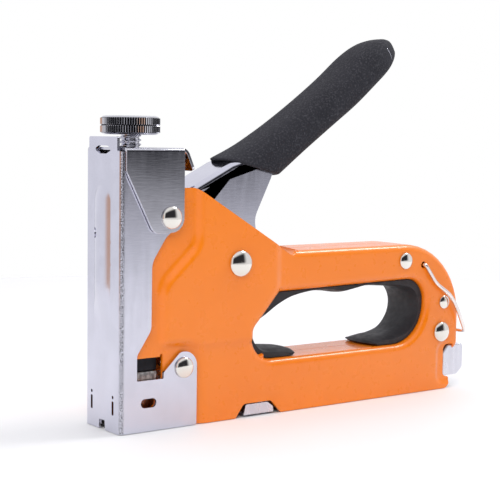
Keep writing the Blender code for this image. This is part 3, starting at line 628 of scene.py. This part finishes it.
def turned(profile, centre, axis, steps):
    """Turn a profile of (radius, distance along the axis) into a closed solid."""
    mesh = bmesh.new()
    side = Vector((1, 0, 0))
    spots = [mesh.verts.new(centre + side * radius + axis * along) for radius, along in profile]
    edges = [mesh.edges.new(pair) for pair in zip(spots, spots[1:])]
    bmesh.ops.spin(mesh, geom=spots + edges, cent=centre, axis=axis, angle=2 * pi, steps=steps,
                   use_merge=True)
    bmesh.ops.remove_doubles(mesh, verts=mesh.verts, dist=0.001)
    bmesh.ops.recalc_face_normals(mesh, faces=mesh.faces)
    return mesh


knob_axis = Vector((KNOB_X, 0, 0))
knob_mesh = turned(KNOB_PROFILE, knob_axis, Vector((0, 0, 1)), KNURL_TEETH * 2)
for spot in knob_mesh.verts:
    out = Vector((spot.co.x - KNOB_X, spot.co.y, 0))
    row = 1 if spot.co.z > KNOB_GROOVE else 0
    tooth = round(atan2(out.y, out.x) / (pi / KNURL_TEETH)) + row
    if out.length > KNOB_RADIUS - 0.01 and tooth % 2:
        spot.co -= out.normalized() * KNURL_DEPTH
knob_chrome, knob_shader, knob_place = plated("knob_chrome", (0.72, 0.72, 0.76), (0.1, 0.18), 0.01, 0.05)
knob_base = knob_shader.inputs["Base Color"].links[0].from_socket
# Painted shade: a near-black colour is laid into the knurl's valleys, from 0.6 mm to 0.12 mm below the
# crests, to stand in for the shade that falls in the grooves.
from_axis = add_node(knob_chrome, "ShaderNodeVectorMath", {
    0: knob_place, 1: tuple(TO_FRAME @ Vector((KNOB_X, 0, 0)))}, operation="SUBTRACT").outputs[0]
from_axis = add_node(knob_chrome, "ShaderNodeMapping", {"Vector": from_axis, "Scale": (1, 1, 0)}).outputs[0]
radius_here = add_node(knob_chrome, "ShaderNodeVectorMath", {0: from_axis}, operation="LENGTH")
radius_here = radius_here.outputs["Value"]
groove_shade_start = between(knob_chrome, radius_here, (KNOB_RADIUS - 0.6) * 0.001, (KNOB_RADIUS - 0.5) * 0.001)
groove_shade_end = between(knob_chrome, radius_here, (KNOB_RADIUS - 0.3) * 0.001,
                      (KNOB_RADIUS - 0.12) * 0.001, 1, 0)
groove_shade = add_node(knob_chrome, "ShaderNodeMath", {0: groove_shade_start, 1: groove_shade_end}, operation="MULTIPLY")
groove_shade = groove_shade.outputs[0]
feed(knob_chrome, knob_shader, "Base Color", tint(knob_chrome, groove_shade, knob_base, (0.07, 0.07, 0.08)))
knob = piece(knob_mesh, "knurled_knob", knob_chrome)
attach(knob, "knob")
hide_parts("adjust_knob")

screw_mesh = bmesh.new()
screw_turns = ceil((KNOB_BOTTOM - SCREW_FOOT) / SCREW_PITCH) + 2
flank_heights = [(SCREW_ROOT, 0.0), (SCREW_ROOT, 0.16), (SCREW_RADIUS, 0.68), (SCREW_RADIUS, 0.83),
                 (SCREW_ROOT, 1.35), (SCREW_ROOT, SCREW_PITCH)]
thread = [screw_mesh.verts.new((KNOB_X + radius, 0, SCREW_FOOT - SCREW_PITCH + height))
          for radius, height in flank_heights]
thread += [screw_mesh.edges.new(pair) for pair in zip(thread, thread[1:])]
bmesh.ops.spin(screw_mesh, geom=thread, cent=knob_axis, axis=(0, 0, 1), angle=2 * pi * screw_turns,
               steps=28 * screw_turns, dvec=(0, 0, SCREW_PITCH / 28))
bmesh.ops.remove_doubles(screw_mesh, verts=screw_mesh.verts, dist=0.002)
for height, direction in ((SCREW_FOOT, -1), (KNOB_BOTTOM + 0.4, 1)):
    everything = screw_mesh.verts[:] + screw_mesh.edges[:] + screw_mesh.faces[:]
    bmesh.ops.bisect_plane(screw_mesh, geom=everything, plane_co=(0, 0, height), plane_no=(0, 0, direction),
                           clear_outer=True)
bmesh.ops.holes_fill(screw_mesh, edges=[edge for edge in screw_mesh.edges if edge.is_boundary])
bmesh.ops.recalc_face_normals(screw_mesh, faces=screw_mesh.faces)
screw = piece(screw_mesh, "adjusting_screw", knob_chrome)
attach(screw, "knob")

seat = piece(from_node("spring_seat"), "spring_seat_disc", steel, edge=0.3)
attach(seat, "seat")
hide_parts("spring_seat")

# ---------------------------------------------------------------- power spring
# The compression spring that fires the striker: 1.8 mm round wire in an open coil between the striker
# block and the seat.  It shortens as the lever lifts the striker.
SPRING_WIRE = 0.9
SPRING_RADIUS = 4.9
SPRING_TURNS = 8
spring_low = 47.5
spring_high = 85.2


def wire(name, path, radius, look, sides=5):
    """Round wire along a path in millimetres, as a mesh with closed ends."""
    line = bpy.data.curves.new(name, "CURVE")
    line.dimensions = "3D"
    run = line.splines.new("POLY")
    run.points.add(len(path) - 1)
    for point, spot in zip(run.points, path):
        point.co = (*(TO_FRAME @ Vector(spot)), 1)
    line.bevel_depth = radius * 0.001
    line.bevel_resolution = sides
    line.use_fill_caps = True
    drawn = bpy.data.objects.new(name + "_line", line)
    bpy.context.scene.collection.objects.link(drawn)
    bpy.context.view_layer.update()
    data = bpy.data.meshes.new_from_object(drawn.evaluated_get(bpy.context.evaluated_depsgraph_get()))
    bpy.data.objects.remove(drawn, do_unlink=True)
    data.name = name
    data.materials.clear()
    data.materials.append(look)
    data.shade_smooth()
    made = bpy.data.objects.new(name, data)
    bpy.context.scene.collection.objects.link(made)
    return made


def coil_path(turns, points, radius, spot_at):
    """Points of a coil.  spot_at places a share of its length and the two offsets across it."""
    count = turns * points
    return [spot_at(i / count, radius * cos(2 * pi * i / points), radius * sin(2 * pi * i / points))
            for i in range(count + 1)]


spring_steel = plated("spring_steel", (0.42, 0.41, 0.40), (0.22, 0.4), 0.02, 0.2)[0]
power_path = coil_path(SPRING_TURNS, 24, SPRING_RADIUS, lambda share, a, b: (
    KNOB_X + a, b, spring_low + (spring_high - spring_low) * share))
power_spring = wire("power_spring", power_path, SPRING_WIRE, spring_steel)
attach(power_spring, "housing")
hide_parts("main_spring")
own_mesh(power_spring)

# ---------------------------------------------------------------- striker, blade and stop
# A blackened steel block that slides in the nose, with the thin blade that drives a staple fixed to its
# front.  A light grey block of hard rubber under it stops it, seen through the side windows.
black_steel = plated("black_steel", (0.035, 0.035, 0.04), (0.3, 0.5), 0.04, 0.4)[0]
striker = piece(from_node("striker"), "striker_block", black_steel, edge=0.35)
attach(striker, "striker")
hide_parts("striker")
blade = piece(from_node("driver_blade"), "driver_blade_strip", steel, edge=0.15)
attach(blade, "striker")
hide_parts("driver_blade")

STOP_GREY = (0.50, 0.49, 0.48)
stop_look, stop_shader, stop_place = new_look("stop_rubber", STOP_GREY, 0.6)
stop_speckle = between(stop_look, noise(stop_look, stop_place, 700, 4), 0.4, 0.62)
stop_tint = tint(stop_look, stop_speckle, (0.22, 0.21, 0.21), (0.56, 0.55, 0.54))
feed(stop_look, stop_shader, "Base Color", stop_tint)
feed(stop_look, stop_shader, "Roughness", between(stop_look, stop_speckle, 0, 1, 0.5, 0.75))
bump(stop_look, stop_shader, noise(stop_look, stop_place, 1400, 3), 0.08, 0.6)
stop = piece(from_node("striker_bumper"), "striker_stop", stop_look, edge=0.4)
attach(stop, "housing")
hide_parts("striker_bumper")

# ---------------------------------------------------------------- squeeze lever
# Two folded sheet channels, one inside the other, both chrome plated.  The inner one has the cheeks
# that turn on the pivot pin, and a hardened plate on the same pin lifts the striker.
LEVER_PIVOT = (48.8, 56.1)
LEVER_SLOPE = radians(36.1)

LEVER_CHROME = (0.68, 0.68, 0.77)
lever_chrome = plated("lever_chrome", LEVER_CHROME, (0.1, 0.18), 0.01, 0.04)[0]
channel_mesh = from_node("lever_channel")
lever_up = Vector((-sin(LEVER_SLOPE), 0, cos(LEVER_SLOPE)))
folds = [edge for edge in channel_mesh.edges if len(edge.link_faces) == 2
         and min(abs(spot.co.y) for spot in edge.verts) > 8.5
         and max(abs(face.normal.y) for face in edge.link_faces) > 0.9
         and max(face.normal.dot(lever_up) for face in edge.link_faces) > 0.6]
bmesh.ops.bevel(channel_mesh, geom=folds, offset=2.0, offset_type="OFFSET", segments=5, profile=0.5,
                affect="EDGES")
channel = piece(channel_mesh, "lever_outer_channel", lever_chrome, edge=0.25, segments=2)
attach(channel, "lever")
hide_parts("lever_channel")
cheeks = piece(from_node("lever_inner"), "lever_inner_channel", lever_chrome, edge=0.4, segments=3)
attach(cheeks, "lever")
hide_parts("lever_inner")
hook = piece(from_node("lifting_hook"), "striker_hook", steel, edge=0.3)
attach(hook, "lever")
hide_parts("lifting_hook")

return_path = [(LEVER_PIVOT[0] - 13.0, 2.5, LEVER_PIVOT[1] - 1.0)]
for i in range(61):
    turn = pi * 0.75 + 2 * pi * i / 24
    return_path.append((LEVER_PIVOT[0] + 4.2 * cos(turn), 2.5 + 2.2 * i / 60,
                        LEVER_PIVOT[1] + 4.2 * sin(turn)))
return_path.append((LEVER_PIVOT[0] + 14 * cos(LEVER_SLOPE) - 12 * sin(LEVER_SLOPE), 4.75,
                    LEVER_PIVOT[1] + 14 * sin(LEVER_SLOPE) + 12 * cos(LEVER_SLOPE)))
return_spring = wire("lever_return_coil", return_path, 0.45, spring_steel, 3)
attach(return_spring, "housing")
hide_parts("lever_return_spring")

# ---------------------------------------------------------------- lever grip
# A sleeve of dark grey foam rubber pulled over both channels.  It swells towards its closed, rounded
# end and is cut back at a slant in front, where the chrome comes out of it.
GRIP_SIDES = 48
GRIP_SQUARENESS = 0.66                 # 1 gives an ellipse, smaller is squarer
GRIP_STATIONS = [                      # distance from the pivot along the lever, top, bottom, half width
    (8.0, 33.2, 12.6, 9.6),
    (20.0, 31.3, 12.2, 9.8),
    (28.0, 29.6, 12.0, 9.9),
    (36.0, 28.3, 12.0, 10.0),
    (50.0, 27.0, 12.3, 10.2),
    (66.0, 26.4, 12.2, 10.4),
    (80.0, 26.5, 12.0, 10.5),
    (93.0, 27.3, 12.7, 10.4),
    (101.0, 26.9, 13.2, 9.6),
    (106.0, 25.6, 14.2, 8.1),
    (109.5, 23.9, 15.5, 6.0),
    (111.4, 22.2, 16.9, 3.6),
]
GRIP_CUT = ((18.9, 33.0), (36.8, 11.8))  # the slanting front, from its top to its bottom
SLEEVE_MOUTH = 0.5                     # the mouth, hidden by the channel, as a share of the outside


def on_lever(u, y, v):
    """A point along the lever, across it, and square to it, from the pivot."""
    c, s = cos(LEVER_SLOPE), sin(LEVER_SLOPE)
    return Vector((LEVER_PIVOT[0] + u * c - v * s, y, LEVER_PIVOT[1] + u * s + v * c))


def eased(stations, spacing):
    """More stations on a smooth curve through the given ones."""
    rows = [Vector(station) for station in stations]
    eased_rows = []
    for i in range(len(rows) - 1):
        before, a, b, after = rows[max(i - 1, 0)], rows[i], rows[i + 1], rows[min(i + 2, len(rows) - 1)]
        count = max(1, ceil((b - a).length / spacing))
        for step in range(count):
            t = step / count
            eased_rows.append(0.5 * (2 * a + (b - before) * t + (2 * before - 5 * a + 4 * b - after) * t * t
                                     + (3 * a - before - 3 * b + after) * t * t * t))
    return eased_rows + [rows[-1]]


def squared(value):
    return abs(value) ** GRIP_SQUARENESS * (1 if value >= 0 else -1)


grip_mesh = bmesh.new()
rings = []
for u, top, bottom, half in eased(GRIP_STATIONS, 2.2):
    section = bmesh.ops.create_circle(grip_mesh, segments=GRIP_SIDES, radius=1.0)["verts"]
    for spot in section:
        height = (top + bottom) / 2 + (top - bottom) / 2 * squared(spot.co.y)
        spot.co = on_lever(u, half * squared(spot.co.x), height)
    rings.append([edge for edge in {e for spot in section for e in spot.link_edges}])
for ring_edges, next_edges in zip(rings, rings[1:]):
    bmesh.ops.bridge_loops(grip_mesh, edges=ring_edges + next_edges)
tip = bmesh.ops.contextual_create(grip_mesh, geom=rings[-1])["faces"]
bmesh.ops.inset_region(grip_mesh, faces=tip, thickness=1.2, depth=0.45)
bmesh.ops.recalc_face_normals(grip_mesh, faces=grip_mesh.faces)
cut_top, cut_foot = (on_lever(u, 0, v) for u, v in GRIP_CUT)
cut_run = cut_foot - cut_top
cut_normal = Vector((cut_run.z, 0, -cut_run.x)).normalized()
everything = grip_mesh.verts[:] + grip_mesh.edges[:] + grip_mesh.faces[:]
bmesh.ops.bisect_plane(grip_mesh, geom=everything, plane_co=cut_top, plane_no=cut_normal, clear_outer=True)
lip = [edge for edge in grip_mesh.edges if edge.is_boundary]
middle = sum((edge.verts[0].co for edge in lip), Vector()) / len(lip)
for shrink, push in ((0.975, -0.5), (0.96, -0.4), (0.96, 0.0), (SLEEVE_MOUTH, 0.9)):
    grown = bmesh.ops.extrude_edge_only(grip_mesh, edges=lip)["geom"]
    fresh = [item for item in grown if isinstance(item, bmesh.types.BMVert)]
    lip = [item for item in grown if isinstance(item, bmesh.types.BMEdge)
           and item.verts[0] in fresh and item.verts[1] in fresh]
    along = on_lever(1, 0, 0) - on_lever(0, 0, 0)
    for spot in fresh:
        spot.co = middle + (spot.co - middle) * shrink + along * push
    middle = middle + along * push
bmesh.ops.contextual_create(grip_mesh, geom=lip)
bmesh.ops.recalc_face_normals(grip_mesh, faces=grip_mesh.faces)

FOAM = (0.020, 0.020, 0.026)
FOAM_LIGHT = (0.055, 0.055, 0.066)
foam, foam_shader, foam_place = new_look("grip_foam", FOAM, 0.85)
foam_cells = noise(foam, foam_place, 1500, 4)
foam_cloud = between(foam, noise(foam, foam_place, 90, 3), 0.35, 0.65, 0.0, 0.2)
foam_fleck = between(foam, foam_cells, 0.5, 0.72)
foam_mix = add_node(foam, "ShaderNodeMath", {0: foam_cloud, 1: foam_fleck}, operation="MAXIMUM").outputs[0]
feed(foam, foam_shader, "Base Color", tint(foam, foam_mix, FOAM, FOAM_LIGHT))
feed(foam, foam_shader, "Roughness", between(foam, foam_cells, 0.3, 0.7, 0.95, 0.72))
bump(foam, foam_shader, foam_cells, 0.16, 0.75)
foam_shader.inputs["Specular IOR Level"].default_value = 0.3
grip = piece(grip_mesh, "foam_grip_sleeve", foam, angle=70)
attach(grip, "lever")
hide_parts("lever_grip")

# ---------------------------------------------------------------- rivets, pivot pin and spacers
# Solid steel rivets, closed over both sides into polished domes.  The two rear ones pass through tube
# spacers, and the largest is the pin that the lever turns on.
RIVET_STAND = 0.05                     # the heads stand this far off the sheet
RIVETS = {                             # x, z, half width of the sheet, head radius, head height, shank
    "rivet_front_top": (19.3, 73.2, BRACKET_HALF, 3.9, 1.75, 1.9),
    "rivet_front_bottom": (25.7, 20.8, NOSE_HALF, 3.65, 1.7, 1.9),
    "rivet_rear_top": (129.7, 53.2, HOUSING_HALF, 3.25, 1.4, 1.9),
    "rivet_rear_middle": (151.4, 35.5, HOUSING_HALF, 2.65, 0.9, 1.9),
    "rivet_rear_bottom": (150.2, 23.5, HOUSING_HALF, 4.1, 2.0, 1.9),
    "lever_pivot": (*LEVER_PIVOT, PANEL_HALF, 4.75, 2.1, 2.6),
}
HEAD_EDGE = 0.35                       # straight edge of a head under its dome

rivet_steel = plated("rivet_steel", (0.80, 0.775, 0.72), (0.05, 0.12), 0.005, 0.05)[0]
for name, (x, z, surface, radius, height, shank) in RIVETS.items():
    base = surface + RIVET_STAND
    half_profile = [(shank, base), (radius - 0.15, base), (radius, base + 0.15), (radius, base + HEAD_EDGE)]
    for step in range(1, 10):
        angle = radians(10 * step)
        half_profile.append((radius * cos(angle), base + HEAD_EDGE + (height - HEAD_EDGE) * sin(angle)))
    profile = [(r, -along) for r, along in reversed(half_profile)] + half_profile
    rivet = turned(profile, Vector((x, 0, z)), Vector((0, 1, 0)), 40)
    rivet = piece(rivet, name + "_domed", rivet_steel)
    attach(rivet, "housing")
    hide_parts(name)
for name in ("spacer_rear_top", "spacer_rear_bottom"):
    spacer = piece(from_node(name), name + "_tube", steel, edge=0.2)
    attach(spacer, "housing")
    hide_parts(name)

# ---------------------------------------------------------------- magazine
# A plated sheet channel fixed between the halves, with two tabs folded out under the base.  A staple
# rail slides in it and carries the end cap, the pusher and the pusher's rod and spring.
zinc = plated("zinc_plate", (0.72, 0.72, 0.79), (0.24, 0.36), 0.02, 0.05)[0]
for node, body, slot, look, edge in (
        ("magazine_channel", "housing", "chrome", zinc, 0.22),
        ("staple_rail", "magazine", "steel", steel, 0.2),
        ("magazine_end_cap", "magazine", "chrome", zinc, 0.5),
        ("staple_pusher", "pusher", "steel", steel, 0.25)):
    part = piece(from_node(node), node + "_sheet", look, edge=edge, segments=3)
    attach(part, body)
    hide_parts(node)

ROD_HEIGHT = 8.0
rod = wire("pusher_guide_rod", [(4.4, 0, ROD_HEIGHT), (152.2, 0, ROD_HEIGHT)], 1.1, steel)
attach(rod, "magazine")
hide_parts("pusher_rod")
PUSHER_SPRING_RUN = (13.8, 151.6)
pusher_path = coil_path(56, 14, 2.2, lambda share, a, b: (
    PUSHER_SPRING_RUN[0] + (PUSHER_SPRING_RUN[1] - PUSHER_SPRING_RUN[0]) * share, a, ROD_HEIGHT + b))
pusher_spring = wire("pusher_coil", pusher_path, 0.35, spring_steel, 2)
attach(pusher_spring, "magazine")
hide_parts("pusher_spring")
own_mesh(pusher_spring)

# ---------------------------------------------------------------- storage latch
# A bail of 1.5 mm plated spring wire, sprung into two holes near the rear of the handle.  It swings up
# over the closed lever to lock it.
LATCH_LEG = [
    (139.6, -10.0, 51.2),
    (139.6, -11.6, 51.2),
    (139.8, -12.9, 51.0),
    (142.6, -13.1, 47.4),
    (146.0, -13.2, 43.4),
    (151.8, -13.9, 39.2),
    (154.8, -14.1, 35.8),
    (157.6, -13.9, 31.6),
    (160.4, -13.4, 26.8),
    (162.4, -12.8, 23.6),
    (162.9, -11.2, 22.9),
    (162.9, -8.0, 22.8),
]
far_leg = [(x, -y, z) for x, y, z in reversed(LATCH_LEG)]
latch_steel = plated("latch_wire_steel", (0.86, 0.82, 0.80), (0.08, 0.2), 0.02, 0.12)[0]
latch = wire("latch_bail", eased(LATCH_LEG + far_leg, 0.7), 0.75, latch_steel)
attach(latch, "latch")
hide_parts("latch_wire")

# ---------------------------------------------------------------- finger opening lining
# A moulded black rubber strip that clips round the inside of the finger opening, with finger waves
# along its top and rounded edges.  It leaves the middle of the floor bare.
LINING_HALF = 9.2
LINING_CROWN = 1.2                     # its middle stands this far above its edges
FOOT_ROUNDING = 3.0                    # its two feet end in rounded tips
LINING_OUTSIDE = [
    (116.2, 20.2, 0),
    (141.5, 20.2, 15.2),
    (141.5, 45.6, 8.7),
    (67.7, 44.3, 1.7),
    (56.2, 31.7, 3.7),
    (56.2, 20.2, 9.2),
    (78.0, 20.2, 0),
]
LINING_INSIDE = [
    (79.3, 20.9),
    (78.6, 21.9),
    (76.0, 22.6),
    (70.0, 23.2),
    (62.5, 23.9),
    (58.6, 28.0),
    (59.0, 32.4),
    (64.0, 35.6),
    (69.4, 38.8),
    (76.0, 41.4),
    (86.0, 43.0),
    (93.0, 42.8),
    (100.5, 41.8),
    (106.5, 42.5),
    (113.5, 43.5),
    (121.5, 43.1),
    (129.0, 42.3),
    (135.6, 40.6),
    (138.6, 36.0),
    (138.0, 30.5),
    (134.0, 25.6),
    (128.0, 23.6),
    (122.0, 23.0),
    (117.4, 22.4),
    (115.4, 21.9),
    (114.7, 20.9),
]
LINING_ROWS = (-1, -0.95, -0.85, -0.65, -0.4, -0.13, 0.13, 0.4, 0.65, 0.85, 0.95, 1)


def lining_row(share):
    """Outline of the lining at a share of its half width: thinner and shorter towards its edges."""
    inside = [Vector((a, b)) for a, b, _ in eased([(a, b, 0) for a, b in LINING_INSIDE], 0.9)]
    sunk = LINING_CROWN * abs(share) ** 3
    lowered = []
    for i, spot in enumerate(inside):
        along = (inside[min(i + 1, len(inside) - 1)] - inside[max(i - 1, 0)]).normalized()
        room = min(1.0, max(0.0, (spot.y - 21.0) / 1.2))
        lowered.append(spot + Vector((-along.y, along.x)) * sunk * room)
    outside = [Vector(spot) for spot in rounded(LINING_OUTSIDE, 12)]
    shortened = FOOT_ROUNDING * (1 - (1 - 0.98 * share * share) ** 0.5)
    for spot in outside + lowered:
        if spot.y < 24 and 112 < spot.x < 128:
            spot.x += shortened * (128 - spot.x) / 13
        if spot.y < 24 and 66 < spot.x < 81:
            spot.x -= shortened * (spot.x - 66) / 13
    return outside + lowered


lining_mesh = bmesh.new()
lining_rings = []
for share in LINING_ROWS:
    lining_rings.append([lining_mesh.verts.new((spot.x, share * LINING_HALF, spot.y))
                         for spot in lining_row(share)])
for near_ring, far_ring in zip(lining_rings, lining_rings[1:]):
    for i in range(len(near_ring)):
        lining_mesh.faces.new((near_ring[i - 1], near_ring[i], far_ring[i], far_ring[i - 1]))
lining_mesh.faces.new(lining_rings[0])
lining_mesh.faces.new(lining_rings[-1])
bmesh.ops.recalc_face_normals(lining_mesh, faces=lining_mesh.faces)

RUBBER = (0.016, 0.015, 0.018)
rubber, rubber_shader, rubber_place = new_look("lining_rubber", RUBBER, 0.6)
rubber_cloud = between(rubber, noise(rubber, rubber_place, 140, 4), 0.35, 0.65)
feed(rubber, rubber_shader, "Base Color", tint(rubber, rubber_cloud, RUBBER, (0.026, 0.025, 0.029)))
rubber_haze = noise(rubber, rubber_place, 500, 3)
feed(rubber, rubber_shader, "Roughness", between(rubber, rubber_haze, 0.3, 0.7, 0.5, 0.7))
bump(rubber, rubber_shader, noise(rubber, rubber_place, 2200, 3), 0.05, 0.6)
lining = piece(lining_mesh, "finger_lining", rubber, edge=0.4, segments=3, angle=45)
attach(lining, "housing")
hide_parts("grip_insert")

# ---------------------------------------------------------------- floor, light and camera
# A pale floor in a white studio, lit by a large soft box in front and a smaller one overhead.  The
# dark end of the room and a warm card stand where the chrome mirrors them.
FLOOR_RADIUS = 0.45
floor_mesh = bmesh.new()
bmesh.ops.create_circle(floor_mesh, cap_ends=True, segments=96, radius=FLOOR_RADIUS)
floor_data = bpy.data.meshes.new("studio_floor")
floor_mesh.to_mesh(floor_data)
floor_mesh.free()
floor = bpy.data.objects.new("studio_floor", floor_data)
floor.location.z = cad_bounds[0][2] - 0.0002
bpy.context.scene.collection.objects.link(floor)
floor_look = new_look("studio_floor", (0.9, 0.9, 0.9), 0.6)[0]
floor_data.materials.append(floor_look)

world = bpy.data.worlds.new("studio")
bpy.context.scene.world = world
world.use_nodes = True
backdrop = world.node_tree.nodes["Background"]
to_sky = add_node(world, "ShaderNodeTexCoord", {}).outputs["Generated"]
sky = add_node(world, "ShaderNodeSeparateXYZ", {"Vector": to_sky}).outputs
WHITE_SIDE = (0.90, 0.90, 0.94)
DARK_ROOM = (0.03, 0.03, 0.035)
WARM_CARD = (0.70, 0.45, 0.33)


def patch(edges):
    """1 inside a patch of the sky.  edges holds an axis and where the patch starts and becomes full."""
    share = 1.0
    for axis, out, full in edges:
        edge = between(world, sky[axis], out, full)
        share = add_node(world, "ShaderNodeMath", {0: share, 1: edge}, operation="MULTIPLY").outputs[0]
    return share


room_patch = patch(((0, -0.75, -0.5), (0, 0.76, 0.58), (1, 0.1, -0.3), (2, -0.1, -0.01), (2, 0.7, 0.45)))
warm_patch = patch(((0, -0.86, -0.95), (1, 0.35, 0.15), (1, -0.4, -0.3), (2, -0.4, -0.3), (2, 0.5, 0.4)))
sky_colour = tint(world, warm_patch, tint(world, room_patch, WHITE_SIDE, DARK_ROOM), WARM_CARD)
seen = add_node(world, "ShaderNodeLightPath", {}).outputs["Is Camera Ray"]
world.node_tree.links.new(tint(world, seen, sky_colour, (1, 1, 1)), backdrop.inputs["Color"])
backdrop.inputs["Strength"].default_value = 1.0


def soft_box(name, place, target, size, power, mirrored=True):
    """Area light that faces its target, and that polished pieces may mirror."""
    lamp = bpy.data.lights.new(name, "AREA")
    lamp.size = size
    lamp.energy = power
    holder = bpy.data.objects.new(name, lamp)
    holder.location = place
    holder.rotation_euler = (Vector(target) - Vector(place)).to_track_quat("-Z", "Y").to_euler()
    holder.visible_glossy = mirrored
    bpy.context.scene.collection.objects.link(holder)


soft_box("front_box", (-0.75, -0.75, 0.85), (0, 0, 0.05), 0.7, 6, mirrored=False)
soft_box("top_box", (0.62, -0.12, 0.82), (0, 0, 0.05), 0.3, 3.6)

CAMERA_AZIMUTH = radians(-36.254)
CAMERA_ELEVATION = radians(5.084)
CAMERA_ROLL = radians(0.825)
CAMERA_SPOT = (-213.26, -375.69, 100.82)
camera_data = bpy.data.cameras.new("view")
camera_data.sensor_width = 36
camera_data.lens = 91.07
camera_data.clip_start = 0.01
camera = bpy.data.objects.new("view", camera_data)
camera.matrix_world = (Matrix.Translation(TO_FRAME @ Vector(CAMERA_SPOT))
                       @ Matrix.Rotation(CAMERA_AZIMUTH, 4, "Z")
                       @ Matrix.Rotation(pi / 2 - CAMERA_ELEVATION, 4, "X")
                       @ Matrix.Rotation(CAMERA_ROLL, 4, "Z"))
bpy.context.scene.collection.objects.link(camera)
bpy.context.scene.camera = camera
bpy.context.scene.view_settings.view_transform = "Standard"
